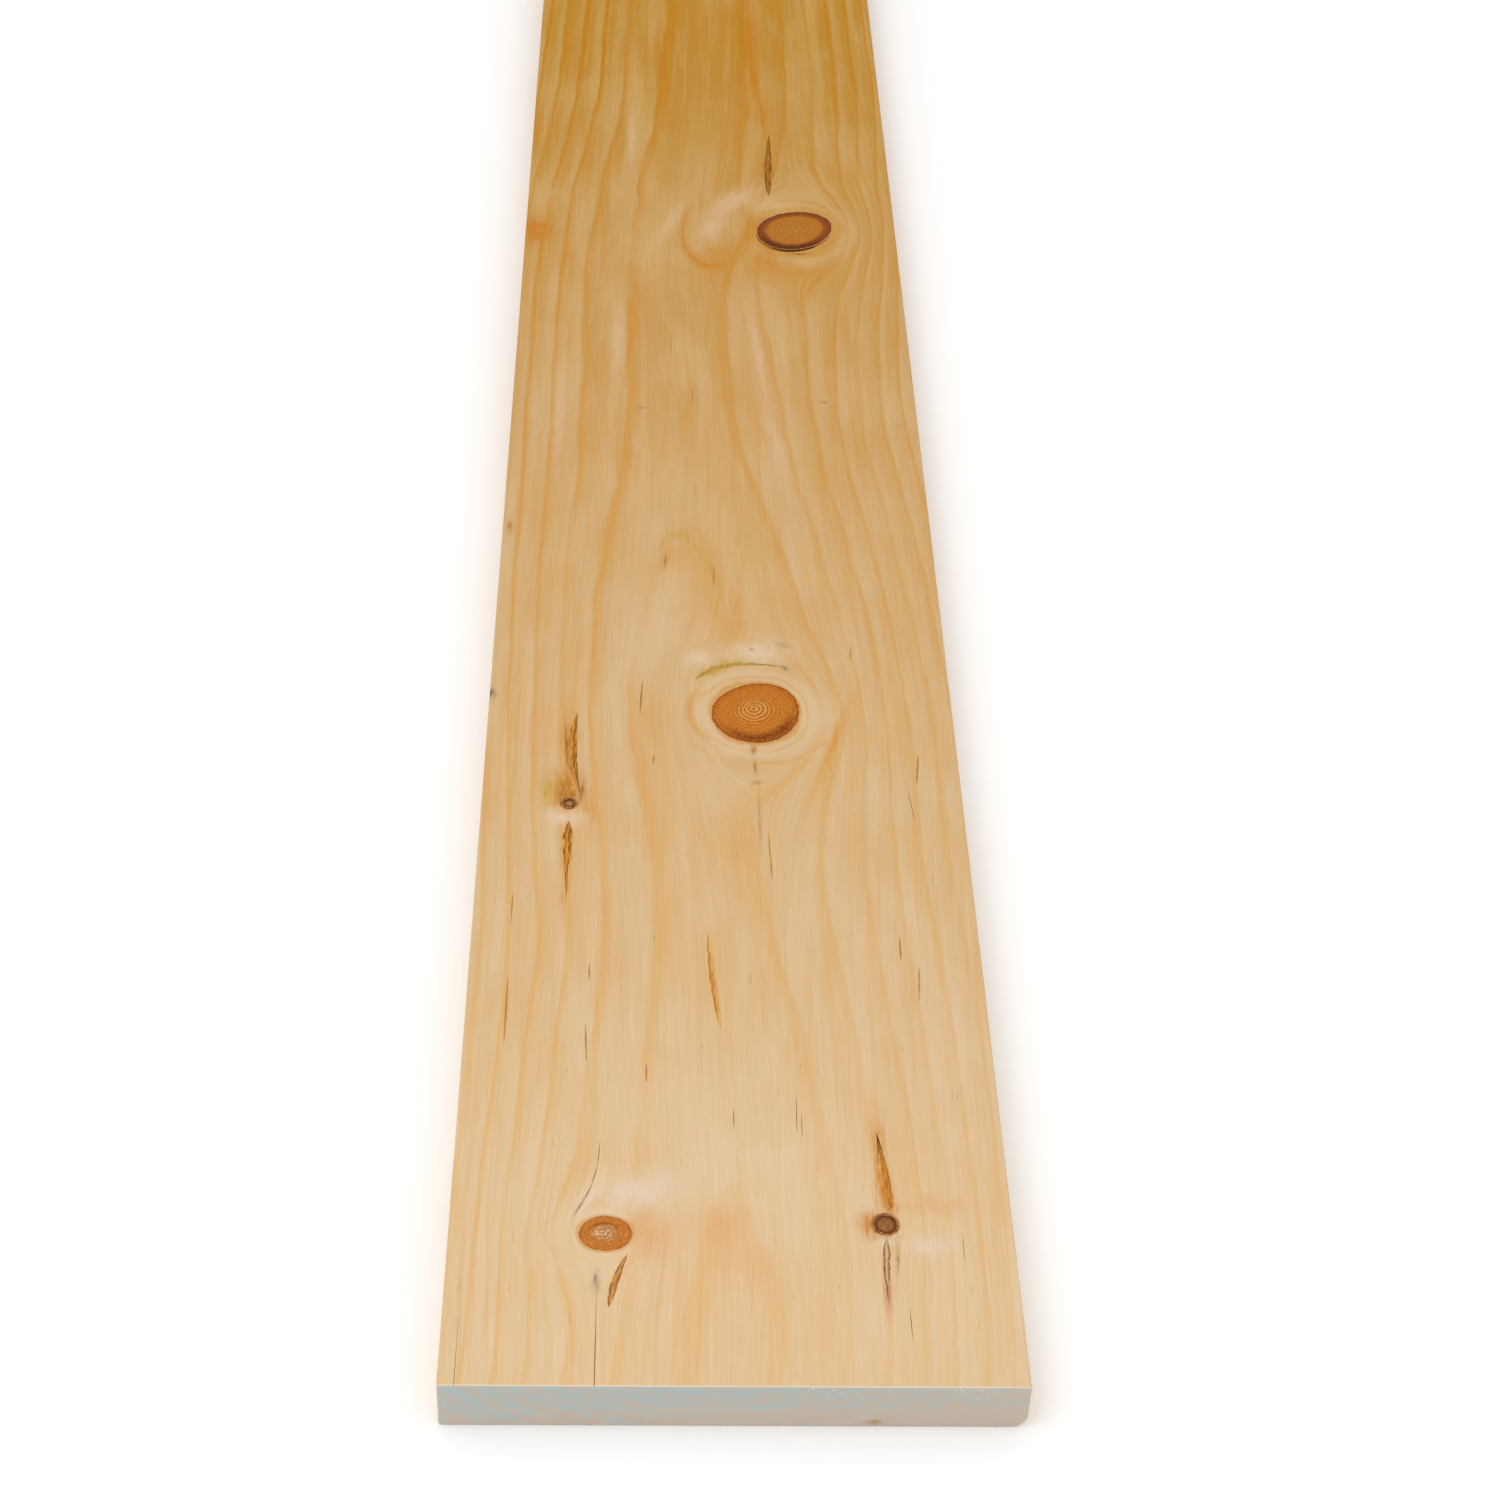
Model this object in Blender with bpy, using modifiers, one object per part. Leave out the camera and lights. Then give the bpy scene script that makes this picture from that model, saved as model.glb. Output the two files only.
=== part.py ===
"""Knotty softwood board, planed on four sides, nominal 1 x 8 inches by 4 feet.

The board is modelled as a woodworker would take it apart: the sawn blank, the five branch
knots that pass through it, the bark that two dead knots and one live knot are bedded in, and
the narrow pockets of bark and pitch that run along the grain above and below the knots.

Frame: metres, +Z up. X runs across the width, Y along the length and away from the near end.
The origin is the middle of the bottom face. The tree's top was towards +Y and its pith above
the top face, so on its way down through the board each branch leans towards +Y and away from
the middle, and grows thicker.
"""

import math

import bmesh
import bpy
from mathutils import Matrix, Vector

MM = 0.001

# Board
LENGTH = 1219.2 * MM
WIDTH = 184.15 * MM
THICKNESS = 19.05 * MM
ARRIS = 0.6 * MM
NEAR_END = -LENGTH / 2

SMOOTH_ANGLE = math.radians(35)

# Fits
GAP = 0.3 * MM
RECESS = 0.05 * MM
OVERCUT = 2.0 * MM

# Wane: the missing corner of the lower right edge, which fades away from the near end
WANE_RADIUS = 6.0 * MM
WANE_LENGTH = 260.0 * MM
WANE_END_SHARE = 0.05
WANE_ARC_STEPS = 8

# Branches: how far a knot's bottom lies from its top, and how much larger it is
BRANCH_RISE = 7.0 * MM
BRANCH_SPREAD = 0.22
BRANCH_GROWTH = 0.12
LARGE_KNOT_SIDES = 56
SMALL_KNOT_SIDES = 32

# Bark and pitch
COLLAR_WALL = 0.9 * MM
SLIVER_SHIFT = 2.4 * MM
SLIVER_DEPTH = 9.0 * MM
STREAK_STEPS = 10

# A knot: place across the width, distance from the near end, half its width, half its length,
# turn of its outline in degrees, unevenness of its outline, and number of sides
KNOTS = {
    "knot_near_left": (-41.0, 62.0, 8.6, 7.5, 0.0, 0.010, SMALL_KNOT_SIDES),
    "knot_near_right": (50.2, 66.7, 3.5, 3.8, 0.0, 0.015, SMALL_KNOT_SIDES),
    "knot_mid_left": (-58.7, 277.5, 2.3, 2.4, 0.0, 0.015, SMALL_KNOT_SIDES),
    "knot_centre": (14.0, 334.2, 17.2, 19.9, -28.0, 0.022, LARGE_KNOT_SIDES),
    "knot_far_right": (41.7, 721.9, 17.2, 21.0, -46.0, 0.014, LARGE_KNOT_SIDES),
}

# A streak of bark or pitch: its start, middle and end as (across, from the near end), its
# greatest width, its depth, and where along it that width falls, from 0 to 1
STREAKS = {
    "pitch_streak_centre": ((-2.5, 157.0), (-4.9, 181.0), (-6.5, 205.0), 1.8, 3.0, 0.45),
    "bark_streak_near_left": ((-39.6, 31.5), (-37.4, 43.0), (-34.0, 53.0), 2.0, 3.0, 0.40),
    "bark_streak_near_right_upper": ((52.6, 73.4), (51.4, 88.0), (49.4, 108.0), 2.4, 4.0, 0.25),
    "bark_streak_near_right_lower": ((49.6, 33.0), (49.6, 46.0), (50.3, 60.4), 2.4, 3.0, 0.70),
    "bark_streak_mid_left_upper": ((-54.8, 284.0), (-58.4, 308.0), (-56.8, 333.0), 3.2, 4.0, 0.50),
    "bark_streak_mid_left_lower": ((-58.3, 225.0), (-58.7, 246.0), (-58.5, 267.0), 3.4, 4.0, 0.75),
    "bark_streak_far_right": ((29.6, 757.0), (30.4, 788.0), (31.5, 823.0), 3.2, 5.0, 0.40),
    "bark_crease_centre": ((-9.8, 355.8), (4.5, 365.2), (27.0, 363.8), 2.4, 2.5, 0.25),
}

WOODS = {
    "sapwood": ((0.69, 0.47, 0.24), 0.62),
    "red_knot": ((0.38, 0.14, 0.035), 0.45),
    "dead_knot": ((0.16, 0.08, 0.045), 0.60),
    "bark": ((0.13, 0.055, 0.02), 0.85),
    "pitch": ((0.50, 0.22, 0.045), 0.30),
}


def clear_scene():
    for old in list(bpy.data.objects):
        bpy.data.objects.remove(old, do_unlink=True)


def new_collection(name):
    collection = bpy.data.collections.new(name)
    bpy.context.scene.collection.children.link(collection)
    return collection


def make_wood(name):
    colour, roughness = WOODS[name]
    wood = bpy.data.materials.new(name)
    wood.use_nodes = True
    shader = wood.node_tree.nodes["Principled BSDF"]
    shader.inputs["Base Color"].default_value = (*colour, 1.0)
    shader.inputs["Roughness"].default_value = roughness
    shader.inputs["Metallic"].default_value = 0.0
    return wood


def object_from(mesh_builder, name, collection):
    """A new object in collection holding what mesh_builder, a bmesh, has in it."""
    bmesh.ops.recalc_face_normals(mesh_builder, faces=mesh_builder.faces)
    mesh = bpy.data.meshes.new(name)
    mesh_builder.to_mesh(mesh)
    mesh_builder.free()
    made = bpy.data.objects.new(name, mesh)
    collection.objects.link(made)
    return made


def as_cutter(made):
    made.hide_render = True
    made.display_type = "WIRE"
    return made


def cut(target, cutter):
    step = target.modifiers.new("cut by " + cutter.name, "BOOLEAN")
    step.operation = "DIFFERENCE"
    step.solver = "EXACT"
    step.object = cutter


def finish_part(part, wood, is_cut=False):
    """Give a part its wood, and smooth its round sides unless a cut leaves new edges on it."""
    part.data.materials.append(wood)
    if not is_cut:
        part.data.shade_smooth()
        part.data.set_sharp_from_angle(angle=SMOOTH_ANGLE)


def knot_prism(name, knot, collection, grow=0.0, shift=(0.0, 0.0), low=0.0, high=THICKNESS):
    """A branch between the heights low and high, its outline grown by grow and moved by shift."""
    across, along, half_width, half_length, turn, uneven, sides = knot
    top = Vector((across * MM + shift[0], NEAR_END + along * MM + shift[1]))
    lean = Vector((BRANCH_SPREAD * across * MM, BRANCH_RISE))
    turned = Matrix.Rotation(math.radians(turn), 2)
    builder = bmesh.new()
    bmesh.ops.create_cone(
        builder, cap_ends=True, segments=sides, radius1=1.0, radius2=1.0, depth=1.0
    )
    for vertex in builder.verts:
        height = high if vertex.co.z > 0 else low
        below_top = (THICKNESS - height) / THICKNESS
        size = 1.0 + BRANCH_GROWTH * below_top
        angle = math.atan2(vertex.co.y, vertex.co.x)
        swell = 1.0 + uneven * (math.cos(2 * angle + 0.6) + math.cos(3 * angle + 2.1))
        outline = Vector(
            (
                (half_width * MM * size * swell + grow) * math.cos(angle),
                (half_length * MM * size * swell + grow) * math.sin(angle),
            )
        )
        place = top + lean * below_top + turned @ outline
        vertex.co = (place.x, place.y, height)
    return object_from(builder, name, collection)


def streak_outline(streak, grow):
    """The closed outline of a streak as seen from above, grown by grow all round."""
    start, middle, end, width, _, peak = streak
    points = [Vector((x * MM, NEAR_END + y * MM)) for x, y in (start, middle, end)]
    curve_handle = 2 * points[1] - (points[0] + points[2]) / 2
    bend = math.log(0.5) / math.log(peak)
    left, right = [], []
    for step in range(1, STREAK_STEPS):
        t = step / STREAK_STEPS
        place = (1 - t) ** 2 * points[0] + 2 * t * (1 - t) * curve_handle + t * t * points[2]
        along = (1 - t) * (curve_handle - points[0]) + t * (points[2] - curve_handle)
        side = Vector((-along.y, along.x)).normalized()
        half = width / 2 * MM * math.sin(math.pi * t**bend) + grow
        left.append(place + side * half)
        right.append(place - side * half)
    first = points[0] + (points[0] - curve_handle).normalized() * grow
    last = points[2] + (points[2] - curve_handle).normalized() * grow
    return [first, *right, last, *reversed(left)]


def streak_prism(name, streak, collection, grow=0.0, low=0.0, high=THICKNESS):
    """A streak between the heights low and high: a flat outline with a thickness, made a mesh."""
    outline = streak_outline(streak, grow)
    curve = bpy.data.curves.new(name + "_outline", "CURVE")
    curve.dimensions = "2D"
    curve.fill_mode = "BOTH"
    curve.extrude = (high - low) / 2
    spline = curve.splines.new("POLY")
    spline.points.add(len(outline) - 1)
    for point, place in zip(spline.points, outline):
        point.co = (place.x, place.y, 0.0, 1.0)
    spline.use_cyclic_u = True
    flat = bpy.data.objects.new(name + "_outline", curve)
    bpy.context.scene.collection.objects.link(flat)
    flat.location.z = (high + low) / 2
    bpy.context.view_layer.update()
    graph = bpy.context.evaluated_depsgraph_get()
    mesh = bpy.data.meshes.new_from_object(flat.evaluated_get(graph), depsgraph=graph)
    builder = bmesh.new()
    builder.from_mesh(mesh)
    bmesh.ops.transform(builder, matrix=flat.matrix_world, verts=builder.verts)
    bmesh.ops.remove_doubles(builder, verts=builder.verts, dist=0.01 * MM)
    bpy.data.objects.remove(flat, do_unlink=True)
    bpy.data.meshes.remove(mesh)
    return object_from(builder, name, collection)


def make_board(parts, wood):
    builder = bmesh.new()
    bmesh.ops.create_cube(builder, size=1.0)
    bmesh.ops.scale(builder, vec=(WIDTH, LENGTH, THICKNESS), verts=builder.verts)
    bmesh.ops.translate(builder, vec=(0.0, 0.0, THICKNESS / 2), verts=builder.verts)
    board = object_from(builder, "board", parts)
    arris = board.modifiers.new("eased arrises", "BEVEL")
    arris.width = ARRIS
    arris.segments = 2
    finish_part(board, wood, is_cut=True)
    return board


def make_wane_cutter(cutters):
    """What is missing from the lower right edge: the corner outside a round, dying away along Y."""
    corner = Vector((WIDTH / 2, 0.0))
    centre = corner + Vector((-WANE_RADIUS, WANE_RADIUS))
    arc = []
    for step in range(WANE_ARC_STEPS + 1):
        angle = -math.pi / 2 + math.pi / 2 * step / WANE_ARC_STEPS
        arc.append(centre + WANE_RADIUS * Vector((math.cos(angle), math.sin(angle))))
    outline = [
        arc[0] + Vector((0.0, -OVERCUT)),
        corner + Vector((OVERCUT, -OVERCUT)),
        arc[-1] + Vector((OVERCUT, 0.0)),
        *reversed(arc),
    ]
    builder = bmesh.new()
    near = [builder.verts.new((p.x, NEAR_END - OVERCUT, p.y)) for p in outline]
    face = builder.faces.new(near)
    swept = bmesh.ops.extrude_face_region(builder, geom=[face])["geom"]
    for vertex in (item for item in swept if isinstance(item, bmesh.types.BMVert)):
        vertex.co.y = NEAR_END + WANE_LENGTH
        if vertex.co.x <= corner.x and vertex.co.z >= 0.0:
            vertex.co.x = corner.x + (vertex.co.x - corner.x) * WANE_END_SHARE
            vertex.co.z *= WANE_END_SHARE
    return as_cutter(object_from(builder, "wane_cutter", cutters))


def make_knot(name, board, parts, cutters, wood):
    knot = knot_prism(name, KNOTS[name], parts, low=RECESS, high=THICKNESS - RECESS)
    finish_part(knot, wood)
    socket = knot_prism(
        name + "_socket", KNOTS[name], cutters, GAP, low=-OVERCUT, high=THICKNESS + OVERCUT
    )
    cut(board, as_cutter(socket))


def make_dead_knot(name, board, parts, cutters, wood, bark):
    """A dead branch in its collar of bark, which the tree grew round."""
    knot = knot_prism(name, KNOTS[name], parts, low=RECESS, high=THICKNESS - RECESS)
    finish_part(knot, wood)
    over = {"low": -OVERCUT, "high": THICKNESS + OVERCUT}
    collar_name = name.replace("knot_", "bark_collar_")
    outside = GAP + COLLAR_WALL
    collar = knot_prism(
        collar_name, KNOTS[name], parts, outside, low=RECESS, high=THICKNESS - RECESS
    )
    bore = knot_prism(collar_name + "_bore", KNOTS[name], cutters, GAP, **over)
    cut(collar, as_cutter(bore))
    finish_part(collar, bark, is_cut=True)
    socket = knot_prism(name + "_socket", KNOTS[name], cutters, outside + GAP, **over)
    cut(board, as_cutter(socket))


def make_bark_sliver(name, board, parts, cutters, bark):
    """A crescent of bark against the near side of a live knot, open at the top face."""
    knot = KNOTS[name]
    floor = THICKNESS - SLIVER_DEPTH
    shift = (-0.1 * SLIVER_SHIFT, -SLIVER_SHIFT)
    sliver_name = name.replace("knot_", "bark_sliver_")
    sliver = knot_prism(
        sliver_name, knot, parts, -GAP, shift, low=floor, high=THICKNESS - RECESS
    )
    clearance = knot_prism(
        sliver_name + "_clearance", knot, cutters, GAP, low=-OVERCUT, high=THICKNESS + OVERCUT
    )
    cut(sliver, as_cutter(clearance))
    finish_part(sliver, bark, is_cut=True)
    pocket = knot_prism(
        sliver_name + "_pocket", knot, cutters, 0.0, shift, floor - GAP, THICKNESS + OVERCUT
    )
    cut(board, as_cutter(pocket))


def make_streak(name, board, parts, cutters, wood):
    streak = STREAKS[name]
    floor = THICKNESS - streak[4] * MM
    part = streak_prism(name, streak, parts, 0.0, floor, THICKNESS - RECESS)
    finish_part(part, wood)
    pocket = streak_prism(
        name + "_pocket", streak, cutters, GAP, floor - GAP, THICKNESS + OVERCUT
    )
    cut(board, as_cutter(pocket))


def main():
    clear_scene()
    parts = new_collection("knotty_board")
    cutters = new_collection("cutters")
    woods = {name: make_wood(name) for name in WOODS}
    board = make_board(parts, woods["sapwood"])
    cut(board, make_wane_cutter(cutters))
    for name in ("knot_near_left", "knot_centre", "knot_far_right"):
        make_knot(name, board, parts, cutters, woods["red_knot"])
    for name in ("knot_near_right", "knot_mid_left"):
        make_dead_knot(name, board, parts, cutters, woods["dead_knot"], woods["bark"])
    make_bark_sliver("knot_far_right", board, parts, cutters, woods["bark"])
    for name in STREAKS:
        wood = woods["pitch"] if name.startswith("pitch") else woods["bark"]
        make_streak(name, board, parts, cutters, wood)
    cutters.hide_render = True


main()
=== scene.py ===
"""Builds the looks of a planed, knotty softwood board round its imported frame.

Lengths are metres in meshes and millimetres in the wood patterns, where X runs across the
board, Y along it from the near end, and Z up from the bottom face. The pith of the tree lies
above the top face, and its top lies towards +Y.
"""

import math

import bmesh
import bpy
from mathutils import Matrix, Vector


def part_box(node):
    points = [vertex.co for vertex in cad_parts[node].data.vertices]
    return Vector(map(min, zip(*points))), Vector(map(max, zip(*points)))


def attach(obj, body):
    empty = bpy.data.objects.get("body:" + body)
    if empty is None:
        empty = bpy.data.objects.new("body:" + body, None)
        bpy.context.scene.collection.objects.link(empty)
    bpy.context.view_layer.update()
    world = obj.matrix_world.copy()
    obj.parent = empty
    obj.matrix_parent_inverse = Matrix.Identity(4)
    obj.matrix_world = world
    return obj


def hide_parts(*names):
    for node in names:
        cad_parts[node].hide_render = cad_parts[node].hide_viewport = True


bl_info = {
    "name": "Knotty Board",
    "version": (1, 0, 0),
    "blender": (4, 5, 0),
    "location": "3D View > Sidebar > Knotty Board",
    "description": "Builds a planed softwood board with its knots, bark, pitch and checks",
    "category": "Add Mesh",
}

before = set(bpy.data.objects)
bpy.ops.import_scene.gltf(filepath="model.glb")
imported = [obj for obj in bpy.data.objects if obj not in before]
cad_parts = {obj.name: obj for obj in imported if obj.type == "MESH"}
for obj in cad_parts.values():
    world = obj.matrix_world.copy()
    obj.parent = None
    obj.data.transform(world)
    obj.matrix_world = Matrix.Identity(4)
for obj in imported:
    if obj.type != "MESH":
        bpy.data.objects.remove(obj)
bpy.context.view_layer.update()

MM = 0.001
BODY = "root"
BOARD_LOW, BOARD_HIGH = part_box("board")
NEAR_END = BOARD_LOW.y
THICKNESS = (BOARD_HIGH.z - BOARD_LOW.z) / MM
LENGTH = (BOARD_HIGH.y - BOARD_LOW.y) / MM
ALL_DEPTHS = 1e6
SEED = 11

# Where the pith runs, as shares of the length and millimetres: across the board, and above it
PITH_ACROSS = ((0.0, -3.0), (0.12, 0.0), (0.21, -4.0), (0.38, -10.0), (0.5, -13.0), (0.62, -9.0),
               (0.75, 0.0), (1.0, -5.0))
PITH_ABOVE = ((0.0, 77.5), (0.06, 79.0), (0.12, 81.2), (0.2, 84.0), (0.3, 84.0), (0.375, 86.0),
              (0.43, 88.6), (0.5, 89.6), (0.8, 89.6), (1.0, 92.0))

# How many rings each branch lifts the wood round it, and how quickly that dies away
SWELLS = {
    "knot_near_left": (0.9, 1.1),
    "knot_near_right": (0.5, 0.6),
    "knot_mid_left": (0.5, 0.5),
    "knot_centre": (1.7, 1.5),
    "knot_far_right": (1.6, 1.6),
}

# Where the wood begins to turn golden, and over what length it does, in millimetres. The change is
# partly the wood's own tone and partly painted falloff of light: the near end is painted paler and
# the far end deeper.
GOLDEN_FROM, GOLDEN_OVER = 60.0, 860.0

# The swirl of rings left of the far branch: across, along, half width, half length, and turn
SWIRL = (4, 736, 19, 64, 0)

# Rings of tint round the large branches: the tint, where each starts and ends in half sizes of
# the branch, and its strength
HALOS = {
    "knot_near_left": (("cream", 1.0, 1.75, 0.8), ("amber", 0.9, 1.2, 0.55)),
    "knot_centre": (("pale", 1.0, 1.55, 0.85), ("amber", 0.9, 1.1, 0.6)),
    "knot_far_right": (("deep", 0.9, 1.35, 0.5), ("pale", 1.25, 1.75, 0.4)),
}

# Soft patches in the top face: across, along, half width, half length, turn in degrees, tint,
# and strength
PATCHES = (
    (-56, 60, 4, 14, 0, "cream", 0.6),
    (-42, 49.5, 12, 3.5, 0, "cream", 0.7),
    (-30, 80, 14, 8, 20, "milk", 1),
    (-47.5, 78, 2.6, 10, -24, "milk", 0.9),
    (-49.4, 74.5, 0.6, 6, -24, "soot", 0.4),
    (-31, 64, 4.6, 7, 0, "fox", 0.35),
    (-27, 61, 9, 10, 0, "peach", 0.8),
    (-25, 118, 22, 18, 0, "cream", 0.5),
    (15, 90, 26, 40, 0, "cream", 0.45),
    (64, 57.5, 7.5, 4.5, 0, "milk", 0.9),
    (66, 75, 12, 4, 0, "peach", 0.65),
    (51, 97, 2.2, 18, 2, "amber", 0.7),
    (49, 118, 1.3, 9, 0, "peach", 0.6),
    (44.4, 66.4, 3.2, 5, 0, "fox", 1),
    (51.6, 74.5, 2.6, 4.4, 0, "fox", 0.75),
    (50.4, 81, 2.2, 8, 3, "fox", 0.8),
    (49.4, 96, 1.3, 11, 3, "fox", 0.7),
    (53.4, 52, 0.7, 7, -4, "rust", 0.6),
    (49.2, 45, 0.8, 10, 0, "rust", 0.35),
    (50.6, 71.4, 1.8, 0.9, 0, "milk", 0.7),
    (50.6, 61, 3.4, 1.4, 0, "rust", 0.5),
    (42, 80, 4, 12, 0, "milk", 0.4),
    (49.6, 37, 1.6, 8, 0, "blush", 0.8),
    (50.4, 60, 3, 2, 0, "milk", 0.6),
    (-60, 286.5, 5.6, 9, 0, "fox", 1),
    (-61.5, 284.5, 2.6, 5.5, 5, "rust", 0.9),
    (-57, 283, 1.8, 4, 0, "rust", 0.7),
    (-54, 284.5, 1, 6, -5, "umber", 0.8),
    (-66.5, 285, 4, 8, 0, "ochre", 0.9),
    (-51.5, 276, 2, 11, 8, "amber", 0.6),
    (-60.5, 268.5, 5.5, 3.6, 0, "milk", 1),
    (-59, 312, 3.4, 16, 0, "amber", 0.9),
    (-60.6, 311, 0.8, 15, 3, "rust", 0.8),
    (-59.2, 245, 2.2, 24, 0, "amber", 0.75),
    (42, 332, 5, 14, 0, "pale", 0.7),
    (41.5, 307, 1.9, 26, -17, "deep", 1),
    (43.5, 314, 1.3, 14, -14, "amber", 0.5),
    (30, 310, 6, 3.6, 20, "pale", 0.6),
    (5, 309, 4, 3, -20, "pale", 0.7),
    (16.5, 309, 2, 2.4, 0, "pale", 0.7),
    (15, 374, 12, 7, 0, "milk", 0.7),
    (-8, 368, 6, 6, 0, "milk", 0.6),
    (12.4, 311, 1, 3.2, 0, "rust", 0.8),
    (12.8, 300, 0.8, 4, 0, "rust", 0.7),
    (13, 291, 2, 1.4, 0, "rust", 0.55),
    (13.8, 268, 0.5, 18, 0, "rust", 0.45),
    (25, 377, 2, 3.5, 30, "rust", 0.4),
    (26, 363.5, 1.2, 1.8, 40, "soot", 0.5),
    (13, 375.5, 0.9, 0.8, 0, "soot", 0.6),
    (-3, 361.8, 5.5, 2.6, 38, "ochre", 1),
    (3.5, 365.6, 5.5, 2.2, 8, "ochre", 1),
    (-22, 408, 9, 34, -9, "pale", 0.8),
    (-30, 372, 11, 26, -8, "pale", 0.6),
    (-15, 456.5, 4, 3, 0, "ochre", 0.6),
    (6, 413, 2.2, 7, 0, "peach", 0.8),
    (-22, 437, 1.4, 6, -12, "fox", 0.5),
    (7, 404, 3, 18, 6, "amber", 0.55),
    (14, 452, 10, 24, 0, "ochre", 0.25),
    (-4, 66, 7, 9, 0, "peach", 0.8),
    (4, 50, 8, 12, 20, "peach", 0.4),
    (-43.8, 42, 1.3, 4, 0, "soot", 0.5),
    (4, 697, 9, 8, 0, "deep", 0.8),
    (10, 679, 64, 14, 0, "deep", 0.35),
    (0, 724, 6.5, 15, -15, "bloom", 1),
    (11, 750, 7, 18, -40, "bloom", 1),
    (46, 690, 6, 6, 0, "pale", 0.7),
    (28, 690, 5, 14, 0, "fox", 0.45),
    (66, 712, 5, 20, -8, "pale", 0.4),
    (17, 712, 4, 13, -8, "deep", 0.9),
    (30.5, 748, 9, 5, 0, "bloom", 0.6),
    (43.5, 698, 4.5, 1.1, 0, "rust", 0.9),
    (-87, 716, 7, 14, 0, "fox", 1.15),
    (-30, 705, 12, 40, 0, "pale", 0.75),
    (-47, 760, 5, 22, 0, "pale", 0.6),
    (-83, 756, 9, 12, 0, "pale", 0.6),
    (-66, 722, 3, 30, 0, "pale", 0.6),
    (-45, 615, 2.6, 34, 0, "bloom", 1),
    (-70.3, 548, 2.6, 48, 0, "bloom", 1),
    (-81, 520, 2, 60, 0, "pale", 0.5),
    (20.5, 607, 2.6, 36, 5, "bloom", 1),
    (27.5, 528, 3, 44, 8, "bloom", 1),
    (-40.3, 822, 2.6, 34, 0, "bloom", 1),
    (-38.5, 870, 4.5, 70, 2, "pale", 0.85),
    (-20, 728, 3, 26, -17, "bloom", 0.7),
    (-4, 575, 3, 34, 4, "pale", 0.5),
    (24.2, 915, 2.6, 60, 0, "deep", 1),
    (24.4, 920, 2.2, 52, 0, "fox", 1),
    (30.6, 779, 2.2, 13, 0, "rust", 0.6),
    (28.4, 790, 0.9, 11, -5, "rust", 0.6),
    (28, 850, 1.8, 40, 4, "deep", 1),
    (-25.5, 885, 2.4, 40, 4, "deep", 0.8),
    (53, 900, 6, 70, 0, "pale", 0.6),
    (-91, 345, 1.6, 3, 0, "soot", 0.8),
    (-89, 460, 1.2, 4, 0, "rust", 0.7),
    (50, 563, 1.6, 1, 0, "soot", 0.7),
    (-33, 556, 2.2, 1, 0, "soot", 0.4),
)

# Curved ring lines: across, along, half width, half length, turn in degrees, line width as a
# share of the half size, how far up it closes (from -1 to 1), tint, and strength
STROKES = (
    (3.5, 728, 17, 44, -4, 0.22, 0.25, "deep", 0.9),
    (3.5, 728, 17, 44, -4, 0.08, -0.5, "fox", 0.7),
    (17.5, 337, 29.5, 34, 0, 0.07, 0.3, "amber", 0.4),
    (1, 322, 13.5, 16, 0, 0.14, -0.3, "amber", 0.4),
    (-10.5, 417, 11, 40, 192, 0.12, 0.3, "ochre", 0.6),
    (-42.5, 62.5, 17.5, 15.5, 0, 0.07, 0.3, "ochre", 0.25),
    (44, 716, 27, 36, 0, 0.08, 0, "deep", 0.6),
)

# Fine checks and resin lines: two ends as (across, along), and the width
CHECKS = (
    ((-43.5, -22), (-43.5, 43), 0.45),
    ((-86.7, -20), (-86.7, 30), 0.25),
    ((-77.8, 147), (-77.8, 184), 0.9),
    ((-77.9, 209), (-78, 226), 0.6),
    ((-49, 139), (-49.8, 159), 0.7),
    ((-49, 180), (-49, 189), 0.7),
    ((-28.3, 130), (-28.3, 139.5), 0.7),
    ((62.9, 191), (63.2, 205), 0.9),
    ((68.2, 170), (69.2, 190), 0.8),
    ((75, 290), (76.8, 310), 0.9),
    ((22.6, 106), (22.9, 125), 0.3),
    ((24.3, 104), (24.4, 117), 0.3),
    ((1.4, 108), (1.4, 119), 0.35),
    ((17.8, 233), (16.8, 264), 0.6),
    ((-32.3, 328), (-31.3, 355), 1),
    ((-26.7, 301), (-26.5, 308), 0.9),
    ((52.9, 368), (54, 380), 0.7),
    ((-20, 598), (-20, 622), 0.35),
    ((-10, 560), (-10.3, 580), 0.3),
    ((-2, 419), (-1.8, 434), 0.8),
    ((-22.6, 432), (-22, 442), 0.8),
    ((56.2, 17), (56, 33), 0.3),
    ((75.1, 49), (75.2, 64), 0.25),
    ((-51.6, 69.5), (-48, 77.3), 0.4),
    ((-48.7, 75.6), (-45.6, 84), 0.6),
    ((-46.3, 81.8), (-44, 92.5), 0.5),
    ((-44.3, 90), (-43.5, 104), 0.4),
    ((73, 267), (71.4, 289), 0.35),
)


# ---------------------------------------------------------------- settings


def colour(name, description, default):
    return bpy.props.FloatVectorProperty(
        name=name, description=description, default=default, subtype="COLOR",
        size=3, min=0.0, max=1.0,
    )


def length(name, description, default):
    return bpy.props.FloatProperty(
        name=name, description=description, default=default, unit="LENGTH",
        subtype="DISTANCE", min=0.0,
    )


class WoodSettings(bpy.types.PropertyGroup):
    """Sizes of what is in the wood."""

    ring_width: length("Ring width", "Thickness of one year's wood", 6.5 * MM)
    first_ring: length("First ring", "Distance from the pith to the ring that is counted as 0",
                       86.0 * MM)
    fit: length("Fit", "How much a knot or filling grows to sit tight in its pocket", 0.28 * MM)
    ridge: length("Ridge", "Height of a knot's hard rings above its soft ones", 0.05 * MM)
    crumble: length("Crumble", "Height of the lumps in bark", 0.35 * MM)
    check_depth: length("Check depth", "Depth of a fine check", 0.25 * MM)
    fibre_length: length("Fibre length", "Length of a torn fibre", 1.6 * MM)


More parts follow.
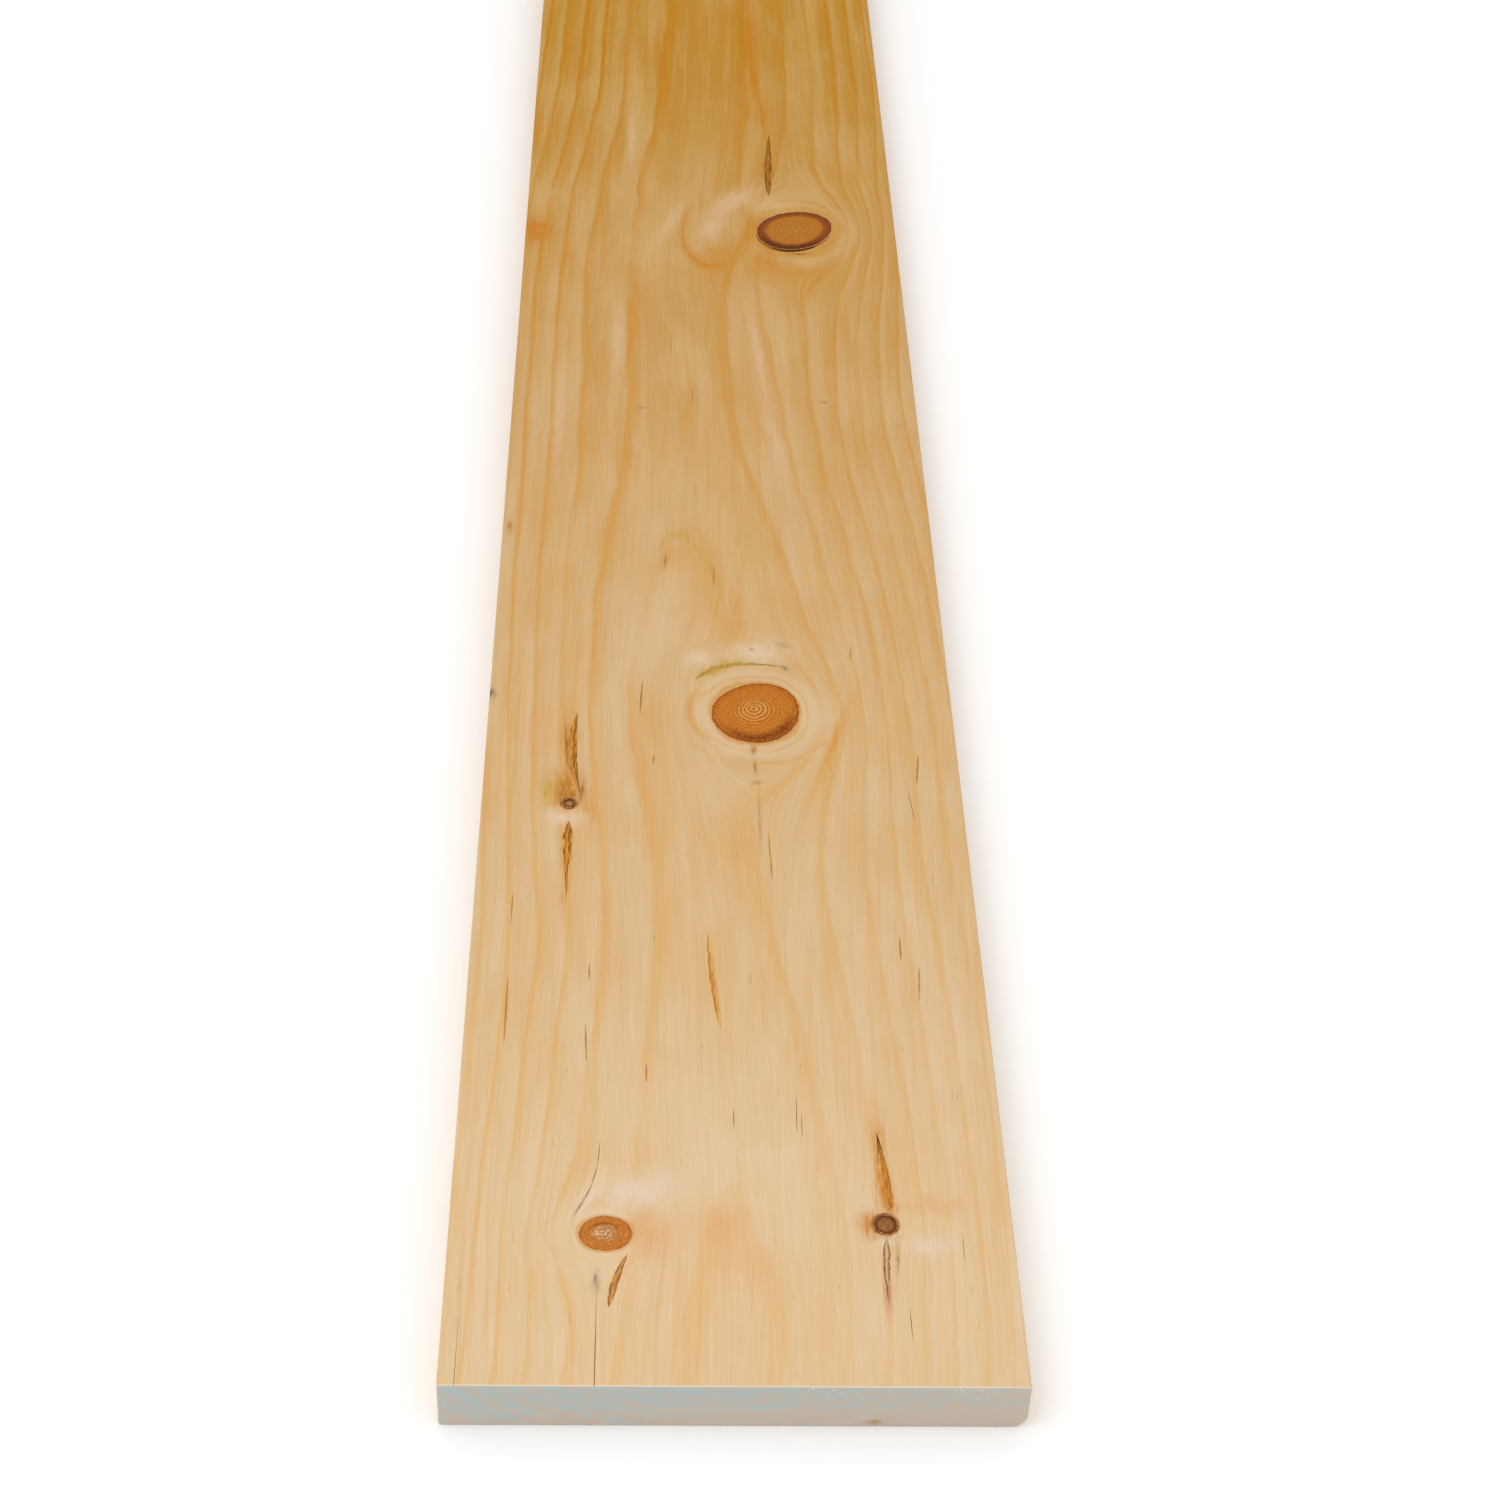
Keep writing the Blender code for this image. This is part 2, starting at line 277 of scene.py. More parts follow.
class ColourSettings(bpy.types.PropertyGroup):
    """Colours of the woods, near and far along the board. The change from near to far is partly
    the wood's own tone and partly painted falloff of light; the sawn end's grey and blue are
    partly painted shade.
    """

    # Near and far colours: partly the wood's own tone, partly painted light that falls off from
    # the near end to the far end
    near_wood: colour("Near wood", "Cream wood of the near end", (0.672, 0.488, 0.280))
    far_wood: colour("Far wood", "Golden wood of the far end", (0.470, 0.236, 0.028))
    near_line: colour("Near ring", "Ring lines of the near end", (0.690, 0.400, 0.140))
    far_line: colour("Far ring", "Ring lines of the far end", (0.480, 0.198, 0.007))
    near_pale: colour("Near early wood", "Pale wood of the near end", (0.700, 0.540, 0.370))
    far_pale: colour("Far early wood", "Pale wood of the far end", (0.530, 0.325, 0.100))
    # The sawn end's colours: partly its own dusty end grain, partly painted shade, the standing
    # end painted greyer, darker and bluer for the weaker, cooler light on it
    end_grain: colour("End grain", "Dusty sawn end", (0.500, 0.446, 0.382))
    end_blue: colour("End bloom", "Bluish bloom on the sawn end", (0.400, 0.470, 0.462))
    end_tan: colour("End rings", "Late wood in the sawn end", (0.550, 0.405, 0.300))
    # Inside of a check: partly resin-soaked wood, partly painted shade in the crack
    check: colour("Check", "Inside of a check", (0.360, 0.160, 0.045))


class StageSettings(bpy.types.PropertyGroup):
    """Camera, light and floor."""

    lens: bpy.props.FloatProperty(name="Lens", description="Focal length on a 36 mm sensor",
                                  default=70.3, min=10.0, unit="CAMERA")
    floor_size: length("Floor", "Side of the floor", 14.0)
    sky: bpy.props.FloatProperty(name="Room light", description="Light from all round",
                                 default=1.0, min=0.0)
    key: bpy.props.FloatProperty(name="Key light", description="Power of the soft key light",
                                 default=9.0, min=0.0, unit="POWER")


def settings():
    return bpy.context.scene.knotty_board


class BoardSettings(bpy.types.PropertyGroup):
    """All that a user may change."""

    wood: bpy.props.PointerProperty(type=WoodSettings, name="Wood", description="Sizes")
    colours: bpy.props.PointerProperty(type=ColourSettings, name="Colours",
                                       description="Colours of the wood")
    stage: bpy.props.PointerProperty(type=StageSettings, name="Stage",
                                     description="Camera, light and floor")


# The tints that soak in along the fibres, and so look streaky
STAINS = ("amber", "ochre", "fox", "rust", "umber", "soot")
TINTS = {
    "cream": (0.690, 0.515, 0.325),
    "milk": (0.700, 0.560, 0.420),
    "bloom": (0.605, 0.405, 0.220),
    "peach": (0.680, 0.385, 0.175),
    "blush": (0.600, 0.300, 0.170),
    "amber": (0.580, 0.270, 0.055),
    "ochre": (0.520, 0.320, 0.065),
    "fox": (0.530, 0.200, 0.018),
    "rust": (0.360, 0.140, 0.022),
    "umber": (0.210, 0.085, 0.018),
    "soot": (0.150, 0.100, 0.060),
}


# ---------------------------------------------------------------- node trees


def sign(operation, swapped=False):
    """A method of Value that adds a maths node for one of Python's own signs."""
    def reckon(self, other):
        pair = (other, self) if swapped else (self, other)
        return self.wires.math(operation, *pair)
    return reckon


class Value:
    """An output that can be reckoned with: each sign adds a maths node to its tree."""

    def __init__(self, wires, socket):
        self.wires = wires
        self.socket = socket
        self.is_vector = socket.type == "VECTOR"

    __add__, __radd__ = sign("ADD"), sign("ADD", True)
    __sub__, __rsub__ = sign("SUBTRACT"), sign("SUBTRACT", True)
    __mul__, __rmul__ = sign("MULTIPLY"), sign("MULTIPLY", True)
    __truediv__, __pow__ = sign("DIVIDE"), sign("POWER")

    def __abs__(self):
        return self.wires.math("ABSOLUTE", self)


class Outputs:
    """A node's outputs as values, by name or number."""

    def __init__(self, wires, sockets):
        self.wires = wires
        self.sockets = sockets

    def __getitem__(self, key):
        return Value(self.wires, self.sockets[key])


class Inputs:
    """A node's inputs, to which values are given by name."""

    def __init__(self, wires, sockets):
        self.wires = wires
        self.sockets = sockets

    def __setitem__(self, key, value):
        self.wires.feed(self.sockets[key], value)


class Wires:
    """Adds nodes to a tree. What feeds a node is a number, a vector, a colour or a Value."""

    def __init__(self, tree):
        self.tree = tree

    def feed(self, socket, value):
        if isinstance(value, Value):
            self.tree.links.new(value.socket, socket)
        elif socket.type == "RGBA":
            socket.default_value = (*value, 1.0)
        else:
            socket.default_value = value

    def add(self, kind, values=None, **options):
        """A new node, with some of its options and inputs set."""
        made = self.tree.nodes.new(kind)
        for name, value in options.items():
            setattr(made, name, value)
        for key, value in (values or {}).items():
            self.feed(made.inputs[key], value)
        return made

    def node(self, kind, values=None, **options):
        """A new node's outputs."""
        return Outputs(self, self.add(kind, values, **options).outputs)

    def group(self, tree, values=None):
        return self.node("ShaderNodeGroup", values, node_tree=tree)

    def math(self, operation, *values, clamp=False):
        """Reckons with numbers, or with vectors if any value is one."""
        if not any(isinstance(value, Value) and value.is_vector for value in values):
            made = self.add("ShaderNodeMath", dict(enumerate(values)), operation=operation,
                            use_clamp=clamp)
            return Value(self, made.outputs[0])
        taken = dict(enumerate(values))
        last = values[-1]
        is_number = not last.is_vector if isinstance(last, Value) else not isinstance(last, tuple)
        if operation == "MULTIPLY" and is_number:
            operation, taken = "SCALE", {0: values[0], "Scale": last}
        made = self.node("ShaderNodeVectorMath", taken, operation=operation)
        return made["Value" if operation in ("LENGTH", "DOT_PRODUCT") else "Vector"]

    def parts(self, vector):
        return self.node("ShaderNodeSeparateXYZ", {"Vector": vector})

    def join(self, x, y, z):
        return self.node("ShaderNodeCombineXYZ", {"X": x, "Y": y, "Z": z})[0]

    def ramp(self, value, low, high, start=0.0, end=1.0):
        """A smooth step from start, at low, to end, at high."""
        values = {"Value": value, "From Min": low, "From Max": high, "To Min": start,
                  "To Max": end}
        return self.node("ShaderNodeMapRange", values, interpolation_type="SMOOTHSTEP")[0]

    def noise(self, place, size, detail=2.0, roughness=0.5):
        """Cloudy noise from 0 to 1, whose lumps have that size."""
        values = {"Vector": place / size, "Scale": 1.0, "Detail": detail, "Roughness": roughness}
        return self.node("ShaderNodeTexNoise", values)[0]

    def mix(self, share, first, second, blend="MIX"):
        return self.node("ShaderNodeMix", {0: share, 6: first, 7: second}, data_type="RGBA",
                         blend_type=blend)[2]

    def darker(self, share, colour, by):
        """A share of a colour multiplied by another."""
        return self.mix(share, colour, self.mix(1.0, colour, by, "MULTIPLY"))

    def curve(self, value, points):
        """A smooth curve through points, whose heights run from 0 to 1."""
        made = self.add("ShaderNodeFloatCurve", {"Value": value})
        line = made.mapping.curves[0]
        line.points[0].location = points[0]
        line.points[1].location = points[-1]
        for point in points[1:-1]:
            line.points.new(*point)
        made.mapping.update()
        return Value(self, made.outputs[0])

    def path(self, value, points):
        """A curve through points of any height."""
        low = min(height for _, height in points)
        high = max(height for _, height in points)
        unit = [(share, (height - low) / (high - low)) for share, height in points]
        return self.curve(value, unit) * (high - low) + low


def new_group(name, takes, gives, kind="ShaderNodeTree"):
    """A node group with named sockets: its wires, and the sockets inside it. Each socket's sort
    is told by its name or by a default number."""
    tree = bpy.data.node_groups.new(name, kind)
    for socket_name, given in takes.items():
        is_sort = isinstance(given, str)
        sort = given if is_sort else {int: "Int", float: "Float"}[type(given)]
        socket = tree.interface.new_socket(
            socket_name, in_out="INPUT", socket_type="NodeSocket" + sort)
        if not is_sort:
            socket.default_value = given
    for socket_name, sort in gives.items():
        tree.interface.new_socket(socket_name, in_out="OUTPUT", socket_type="NodeSocket" + sort)
    wires = Wires(tree)
    gives = Inputs(wires, wires.add("NodeGroupOutput").inputs)
    return wires, wires.node("NodeGroupInput"), gives


def once(builder):
    """Makes a node group the first time it is asked for."""
    def get():
        name = builder.__name__
        if name not in bpy.data.node_groups:
            builder(name)
        return bpy.data.node_groups[name]
    return get


# ---------------------------------------------------------------- shader groups


@once
def board_place(name):
    """Millimetres across the board, along it from the near end, and up from the bottom."""
    wires, _, gives = new_group(name, {}, {"Place": "Vector"})
    where = wires.node("ShaderNodeTexCoord")["Object"]
    gives["Place"] = (where - (0.0, NEAR_END, 0.0)) * (1 / MM)


@once
def round_a_branch(name):
    """How far a point is from a branch, in the branch's own half sizes, and how far the grain
    is pushed aside there."""
    wires, takes, gives = new_group(
        name,
        {"Place": "Vector", "Centre": "Vector", "Lean": "Vector", "Half Size": "Vector",
         "Stretch": 2.0, "Spread": 1.2}, {"Reach": "Float", "Push": "Float"})
    below = 1.0 - wires.parts(takes["Place"])["Z"] / THICKNESS
    offset = takes["Place"] - (takes["Centre"] + takes["Lean"] * below)
    near = offset / takes["Half Size"]
    drawn_out = near / wires.join(1.0, takes["Stretch"], 1.0)
    spread = wires.math("DOT_PRODUCT", drawn_out, drawn_out) / takes["Spread"]
    gives["Reach"] = wires.math("LENGTH", near)
    gives["Push"] = wires.parts(offset)["X"] / wires.math("MAXIMUM", spread, 1.0)


@once
def growth_rings(name):
    """The tree's rings: each one's thin dark line, the shade before it, and the pale wood
    after it."""
    wires, takes, gives = new_group(
        name,
        {"Place": "Vector", "Push": 0.0, "Lift": 0.0, "Ring Width": 6.5, "First Ring": 86.0},
        {"Line": "Float", "Shade": "Float", "Early": "Float"})
    x, y, z = wires.parts(takes["Place"])
    share = y / LENGTH
    sway = wires.noise(takes["Place"], (70.0, 240.0, 70.0), 1.0)
    across = x - wires.path(share, PITH_ACROSS) - takes["Push"] + (sway - 0.5) * 9.0
    away = THICKNESS - z + wires.path(share, PITH_ABOVE)
    radius = (across * across + away * away) ** 0.5
    waver = wires.noise(takes["Place"], (14.0, 60.0, 14.0), 3.0)
    ring = (radius - takes["First Ring"]) / takes["Ring Width"] - takes["Lift"]
    ring += (waver - 0.5) * 0.36
    phase = wires.math("FRACT", ring)
    year = wires.node("ShaderNodeTexWhiteNoise", {"W": wires.math("FLOOR", ring)},
                      noise_dimensions="1D")["Value"]
    fading = wires.noise(takes["Place"], (24.0, 110.0, 24.0), 2.0)
    strength = wires.ramp(fading, 0.3, 0.65, 0.7, 1.0) * (year * 0.3 + 0.7)
    strength *= wires.ramp(x, -25.0, 45.0, 1.0, 0.7)
    fall = wires.ramp(phase, 1.0, 0.94) * strength
    gives["Line"] = wires.ramp(phase, 0.72, 0.9) * fall
    gives["Shade"] = wires.ramp(phase, 0.2, 0.9) * fall
    pale = wires.ramp(phase, 0.0, 0.06) * wires.ramp(phase, 0.6, 0.15)
    gives["Early"] = pale * wires.ramp(fading, 0.65, 0.35, 0.3, 1.0)


@once
def fibres(name):
    """Grain that runs along the board: fine fibres, streaks, cloudy tone, and short flecks."""
    wires, takes, gives = new_group(
        name, {"Place": "Vector", "Push": 0.0, "Fineness": 1.0},
        {"Fine": "Float", "Streak": "Float", "Cloud": "Float", "Fleck": "Float"})
    x, y, z = wires.parts(takes["Place"])
    flow = wires.join(x - takes["Push"], y, z)
    scaled = flow * takes["Fineness"]
    gives["Fine"] = wires.noise(scaled, (0.55, 26.0, 0.55), 3.0, 0.65)
    gives["Streak"] = wires.noise(scaled, (3.8, 120.0, 3.8), 3.0, 0.55)
    gives["Cloud"] = wires.noise(flow, (20.0, 60.0, 20.0), 3.0)
    specks = wires.noise(scaled, (0.9, 11.0, 0.9), 1.0)
    gives["Fleck"] = wires.ramp(specks, 0.72, 0.8)


@once
def oval(name):
    """Where a point lies from an oval's middle, in its half sizes."""
    wires, takes, gives = new_group(
        name,
        {"Place": "Vector", "Centre": "Vector", "Half Size": "Vector", "Turn": 0.0},
        {"Offset": "Vector", "Reach": "Float"})
    offset = takes["Place"] - takes["Centre"]
    turned = wires.node("ShaderNodeVectorRotate", {"Vector": offset, "Angle": takes["Turn"]},
                        rotation_type="Z_AXIS")[0]
    scaled = turned / takes["Half Size"]
    gives["Offset"] = scaled
    gives["Reach"] = wires.math("LENGTH", scaled)


@once
def soft_patch(name):
    """1 at the middle of an oval patch, fading to 0 past its half size."""
    wires, takes, gives = new_group(name, {"Reach": 0.0, "Strength": 1.0}, {"Patch": "Float"})
    fall = takes["Reach"] * takes["Reach"] * -1.0
    gives["Patch"] = wires.math("EXPONENT", fall) * takes["Strength"]


@once
def ring_stroke(name):
    """A soft line round an oval, which may stay open towards its far end."""
    wires, takes, gives = new_group(
        name,
        {"Offset": "Vector", "Reach": 0.0, "Width": 0.1, "Closes": 0.0, "Strength": 1.0},
        {"Stroke": "Float"})
    band = wires.ramp(abs(takes["Reach"] - 1.0), takes["Width"], 0.0)
    upward = wires.parts(takes["Offset"])["Y"] / takes["Reach"]
    drawn = wires.ramp(upward - takes["Closes"], 0.35, -0.2)
    gives["Stroke"] = band * drawn * takes["Strength"]


@once
def branch_rings(name):
    """The face of a cut branch: its pith, thin rings, dark crescent and rim, which blends into
    the wood round it."""
    wires, takes, gives = new_group(
        name,
        {"Place": "Vector", "Reach": 0.0, "Centre": "Vector", "Wood": "Color", "Body": "Color",
         "Core": "Color", "Rim": "Color", "Line": "Color", "Dark": "Color", "Core Reach": 0.3,
         "Rings": 9.0, "Ring Reach": 0.5, "Ring Strength": 1.0, "Rim Reach": 0.8, "Speckle": 0.0,
         "Crescent Reach": 0.7, "Crescent Width": 0.1, "Crescent Turn": 0.0, "Crescent": 1.0},
        {"Color": "Color", "Height": "Float", "Dark": "Float"})
    waver = wires.noise(takes["Place"], (3.2, 3.2, 9.0), 2.0) - 0.5
    reach = waver * 0.08 + takes["Reach"]
    fine = wires.noise(takes["Place"], (0.7, 1.3, 5.0), 4.0, 0.7)
    phase = wires.math("FRACT", reach * takes["Rings"])
    line = wires.ramp(phase, 0.45, 0.72) * wires.ramp(phase, 1.0, 0.8)
    between = wires.ramp(phase, 0.0, 0.2) * wires.ramp(phase, 0.5, 0.25)
    shown = wires.ramp(reach, takes["Ring Reach"], takes["Ring Reach"] * 0.6, 0.2, 1.0)
    shown = wires.ramp(fine, 0.32, 0.55, 0.3, 1.0) * shown * takes["Ring Strength"]
    tint = wires.mix(wires.ramp(reach, takes["Core Reach"], takes["Core Reach"] * 0.75),
                     takes["Body"], takes["Core"])
    tint = wires.mix(wires.ramp(reach, takes["Rim Reach"], takes["Rim Reach"] + 0.2), tint,
                     takes["Rim"])
    tint = wires.mix(line * shown, tint, takes["Line"])
    tint = wires.mix(between * shown * 0.5, tint, takes["Dark"])
    spots = wires.ramp(fine, 0.5, 0.6) * takes["Speckle"]
    spots *= wires.ramp(reach, takes["Core Reach"], 0.0, 0.0, 1.6)
    tint = wires.mix(spots, tint, takes["Line"])
    offset = (takes["Place"] - takes["Centre"]) * (1.0, 1.0, 0.0)
    facing = wires.node("ShaderNodeVectorRotate",
                        {"Vector": wires.math("NORMALIZE", offset),
                         "Angle": takes["Crescent Turn"]}, rotation_type="Z_AXIS")[0]
    side = wires.ramp(wires.parts(facing)["Y"] * -1.0, 0.1, 0.95)
    apart = abs(reach - takes["Crescent Reach"])
    crescent = wires.ramp(apart, takes["Crescent Width"], 0.0) * side * takes["Crescent"]
    crescent = wires.math("MULTIPLY", crescent, wires.ramp(fine, 0.3, 0.6, 1.0, 0.7), clamp=True)
    tint = wires.mix(crescent, tint, takes["Dark"])
    outline = wires.ramp(reach, 0.88, 0.95) * wires.ramp(waver, -0.2, 0.2, 0.3, 0.8)
    tint = wires.darker(outline, tint, (0.72, 0.6, 0.5))
    tint = wires.darker(wires.ramp(fine, 0.38, 0.62, 0.55, 0.0), tint, (0.7, 0.6, 0.5))
    tint = wires.mix(wires.ramp(fine, 0.55, 0.72, 0.0, 0.4), tint, wires.mix(
        0.5, tint, takes["Line"]))
    ragged = (fine - 0.5) * 0.08 + takes["Reach"] + waver * 0.06
    blend = wires.ramp(ragged, 0.955, 0.985) * (1.0 - crescent)
    tint = wires.mix(blend, tint, takes["Wood"])
    gives["Color"] = tint
    gives["Height"] = fine * 0.6 + line - crescent
    gives["Dark"] = crescent


@once
def packed(name):
    """A filling: ragged brown wood with one or two dark lines, in the board's own wood."""
    wires, takes, gives = new_group(
        name,
        {"Place": "Vector", "Across": 0.0, "Wood": "Color", "Edge": "Color", "Between": "Color",
         "First Line": -0.5, "Second Line": 0.5, "Line Width": 0.3, "Fill": 1.0, "Edges": 0.9},
        {"Color": "Color", "Height": "Float", "Mask": "Float"})
    bends = wires.noise(takes["Place"], (2.2, 7.0, 2.2), 3.0, 0.6) - 0.5
    strands = wires.noise(takes["Place"], (0.4, 6.0, 0.4), 3.0, 0.65)
    lumps = wires.noise(takes["Place"], (0.6, 1.4, 0.6), 2.0, 0.6)
    across = bends * 1.5 + takes["Across"]
    ragged = (strands - 0.5) * 0.8 + abs(across)
    fill = wires.ramp(ragged, takes["Edges"], takes["Edges"] - 0.5) * takes["Fill"]
    tone = wires.mix(1.0, takes["Between"], (0.62, 0.5, 0.42), "MULTIPLY")
    tone = wires.mix(wires.ramp(strands, 0.35, 0.62), tone, takes["Between"])
    tint = wires.mix(fill, takes["Wood"], tone)
    dark = 0.0
    for key, seed in (("First Line", 11.0), ("Second Line", 37.0)):
        breaks = wires.noise(takes["Place"] + (seed, seed, 0.0), (1.5, 6.0, 1.5), 2.0)
        apart = abs(across - takes[key])
        line = wires.ramp(apart, takes["Line Width"], takes["Line Width"] * 0.3)
        dark = wires.math("MAXIMUM", dark, line * wires.ramp(breaks, 0.34, 0.5))
    dark *= wires.ramp(lumps, 0.25, 0.5, 0.7, 1.0)
    gives["Color"] = wires.mix(dark, tint, takes["Edge"])
    gives["Height"] = strands * 0.5 + lumps - dark
    gives["Mask"] = wires.math("MAXIMUM", dark, fill)


# ---------------------------------------------------------------- materials


def new_material(name, roughness, specular=0.3, coat=0.0):
    """A material, its wires, the inputs of its Principled BSDF, and the place on the board."""
    wood = bpy.data.materials.new(name)
    wood.use_nodes = True
    wires = Wires(wood.node_tree)
    shader = Inputs(wires, wood.node_tree.nodes["Principled BSDF"].inputs)
    shader["Roughness"] = roughness
    shader["Specular IOR Level"] = specular
    shader["Coat Weight"] = coat
    return wood, wires, shader, wires.group(board_place())["Place"]


def add_relief(wires, shader, height, depth):
    """Feeds a height from 0 to 1 to the shader as relief, depth deep."""
    values = {"Height": height, "Strength": 1.0, "Distance": depth}
    shader["Normal"] = wires.node("ShaderNodeBump", values)[0]


def branch_sizes(node):
    """A branch's middle at the top face, its lean, and its half sizes, all in millimetres."""
    boxes = []
    for pick in (max, min):
        loop = round_rim(node, pick)
        xs, ys = [p.x / MM for p in loop], [(p.y - NEAR_END) / MM for p in loop]
        middle = Vector(((min(xs) + max(xs)) / 2, (min(ys) + max(ys)) / 2, 0.0))
        half = Vector(((max(xs) - min(xs)) / 2, (max(ys) - min(ys)) / 2, ALL_DEPTHS))
        boxes.append((middle, half))
    (top, half), (bottom, _) = boxes
    return top, bottom - top, half


def wood_flow(wires, place):
    """How far all the branches push the grain aside and lift its rings, and how close each is."""
    push, lift, reaches = 0.0, 0.0, {}
    for node, (rise, fall) in SWELLS.items():
        centre, lean, half = branch_sizes(node)
        bend = wires.group(round_a_branch(), {"Place": place, "Centre": centre, "Lean": lean,
                                              "Half Size": half})
        past = wires.math("MAXIMUM", bend["Reach"] - 1.0, 0.0)
        fading = wires.math("EXPONENT", past * -fall)
        lift += fading * rise
        push += bend["Push"]
        reaches[node] = bend["Reach"]
    return push, lift, reaches


def oval_at(wires, place, across, along, half_width, half_length, turn):
    """An oval in the top face, in millimetres, turned by degrees."""
    return wires.group(oval(), {
        "Place": place, "Centre": (across, along, THICKNESS), "Turn": math.radians(-turn),
        "Half Size": (half_width, half_length, 6.0)})


@once
def planed_face(name):
    """The planed wood's colour and relief: rings, fibres, halos, strokes and patches, over a tone
    from the near end to the far end that is partly the wood's own and partly painted falloff of
    light.
    """
    look, sizes = settings().colours, settings().wood
    wires, takes, gives = new_group(
        name, {"Place": "Vector"},
        {"Color": "Color", "Height": "Float", "Fine": "Float", "Late": "Float"})
    place = takes["Place"]
    push, lift, reaches = wood_flow(wires, place)
    swirl = wires.group(soft_patch(), {
        "Reach": oval_at(wires, place, *SWIRL)["Reach"], "Strength": 0.8})
    lift += swirl["Patch"]
    rings = wires.group(growth_rings(), {
        "Place": place, "Push": push, "Lift": lift, "Ring Width": sizes.ring_width / MM,
        "First Ring": sizes.first_ring / MM})
    grain = wires.group(fibres(), {"Place": place, "Push": push})
    x, y, z = wires.parts(place)
    # The share of the way to the far end, where the wood turns golden and is also painted darker
    # for light that falls off away from the near end
    golden_and_painted_falloff = wires.math("DIVIDE", y - GOLDEN_FROM, GOLDEN_OVER, clamp=True) ** 0.88
    base = wires.mix(golden_and_painted_falloff, look.near_wood, look.far_wood)
    deep = wires.mix(golden_and_painted_falloff, look.near_line, look.far_line)
    pale = wires.mix(golden_and_painted_falloff, look.near_pale, look.far_pale)
    tones = {"pale": pale, "deep": deep, **TINTS}

    tint = wires.mix(wires.ramp(grain["Cloud"], 0.45, 0.7, 0.0, 0.55), base, pale)
    tint = wires.mix(wires.ramp(grain["Cloud"], 0.5, 0.28, 0.0, 0.3), tint, deep)
    tint = wires.mix(rings["Early"] * (golden_and_painted_falloff * 0.4 + 0.25), tint, pale)
    tint = wires.mix(rings["Shade"] * 0.13, tint, deep)
    streaky = golden_and_painted_falloff * 0.2 + 0.24
    tint = wires.mix(wires.ramp(grain["Streak"], 0.5, 0.7, 0.0, streaky), tint, deep)
    tint = wires.mix(wires.ramp(grain["Streak"], 0.47, 0.3, 0.0, streaky), tint, pale)

    flow = wires.join(x - push, y, z)
    warm = wires.noise(flow + (50.0, 0.0, 0.0), (2.4, 80.0, 2.4), 2.0)
    tint = wires.mix(wires.ramp(warm, 0.54, 0.7) * (golden_and_painted_falloff * -0.16 + 0.36), tint,
                     wires.mix(golden_and_painted_falloff, TINTS["peach"], deep))

    loose = wires.noise(place, (5.0, 12.0, 5.0), 2.0) - 0.5
    frayed = wires.noise(place, (1.2, 22.0, 1.2), 3.0, 0.6) - 0.5
    for node, rows in HALOS.items():
        reach = loose * 0.22 + reaches[node]
        for key, start, end, strength in rows:
            middle, half = (start + end) / 2, (end - start) / 2
            apart = abs(reach - middle)
            ring = wires.ramp(apart, half, half * 0.3, 0.0, strength)
            tint = wires.mix(ring, tint, tones[key])
    strayed = place + wires.join(frayed * 5.0 + loose * 3.0, loose * 10.0, 0.0)
    sway = wires.noise(place, (22.0, 40.0, 22.0), 1.0) - 0.5
    drifted = place + wires.join(sway * 6.0, sway * -6.0, 0.0)
    grainy = wires.noise(place, (0.8, 5.0, 0.8), 3.0, 0.65)
    stained = grainy * 3.4 - 0.7
    dusted = grainy * 1.4 + 0.3
    tint = wires.mix(rings["Line"] * (golden_and_painted_falloff * 0.65 + 0.55), tint, deep)
    for *where, width, closes, key, strength in STROKES:
        near = oval_at(wires, drifted, *where)
        stroke = wires.group(ring_stroke(), {
            "Offset": near["Offset"], "Reach": near["Reach"], "Width": width, "Closes": closes,
            "Strength": strength})["Stroke"]
        tint = wires.mix(stroke * wires.ramp(sway, -0.12, 0.06, 0.3, 1.0), tint, tones[key])
    for *where, key, strength in PATCHES:
        is_small = min(where[2], where[3]) < 1.5
        near = oval_at(wires, place if is_small else strayed, *where)
        patch = wires.group(soft_patch(), {"Reach": near["Reach"], "Strength": strength})["Patch"]
        texture = stained if key in STAINS else dusted
        tint = wires.mix(wires.math("MULTIPLY", patch, texture, clamp=True), tint, tones[key])

    fine = wires.ramp(grain["Fine"], 0.3, 0.7)
    tint = wires.darker(fine * 0.5, tint, (0.92, 0.84, 0.72))
    tint = wires.mix(wires.ramp(grain["Fine"], 0.44, 0.25, 0.0, 0.3), tint, pale)
    tint = wires.mix(grain["Fleck"] * 0.3, tint, TINTS["rust"])
    gives["Color"] = tint
    gives["Height"] = rings["Line"] * 0.5 + grain["Fine"]
    gives["Fine"] = fine
    gives["Late"] = rings["Shade"]


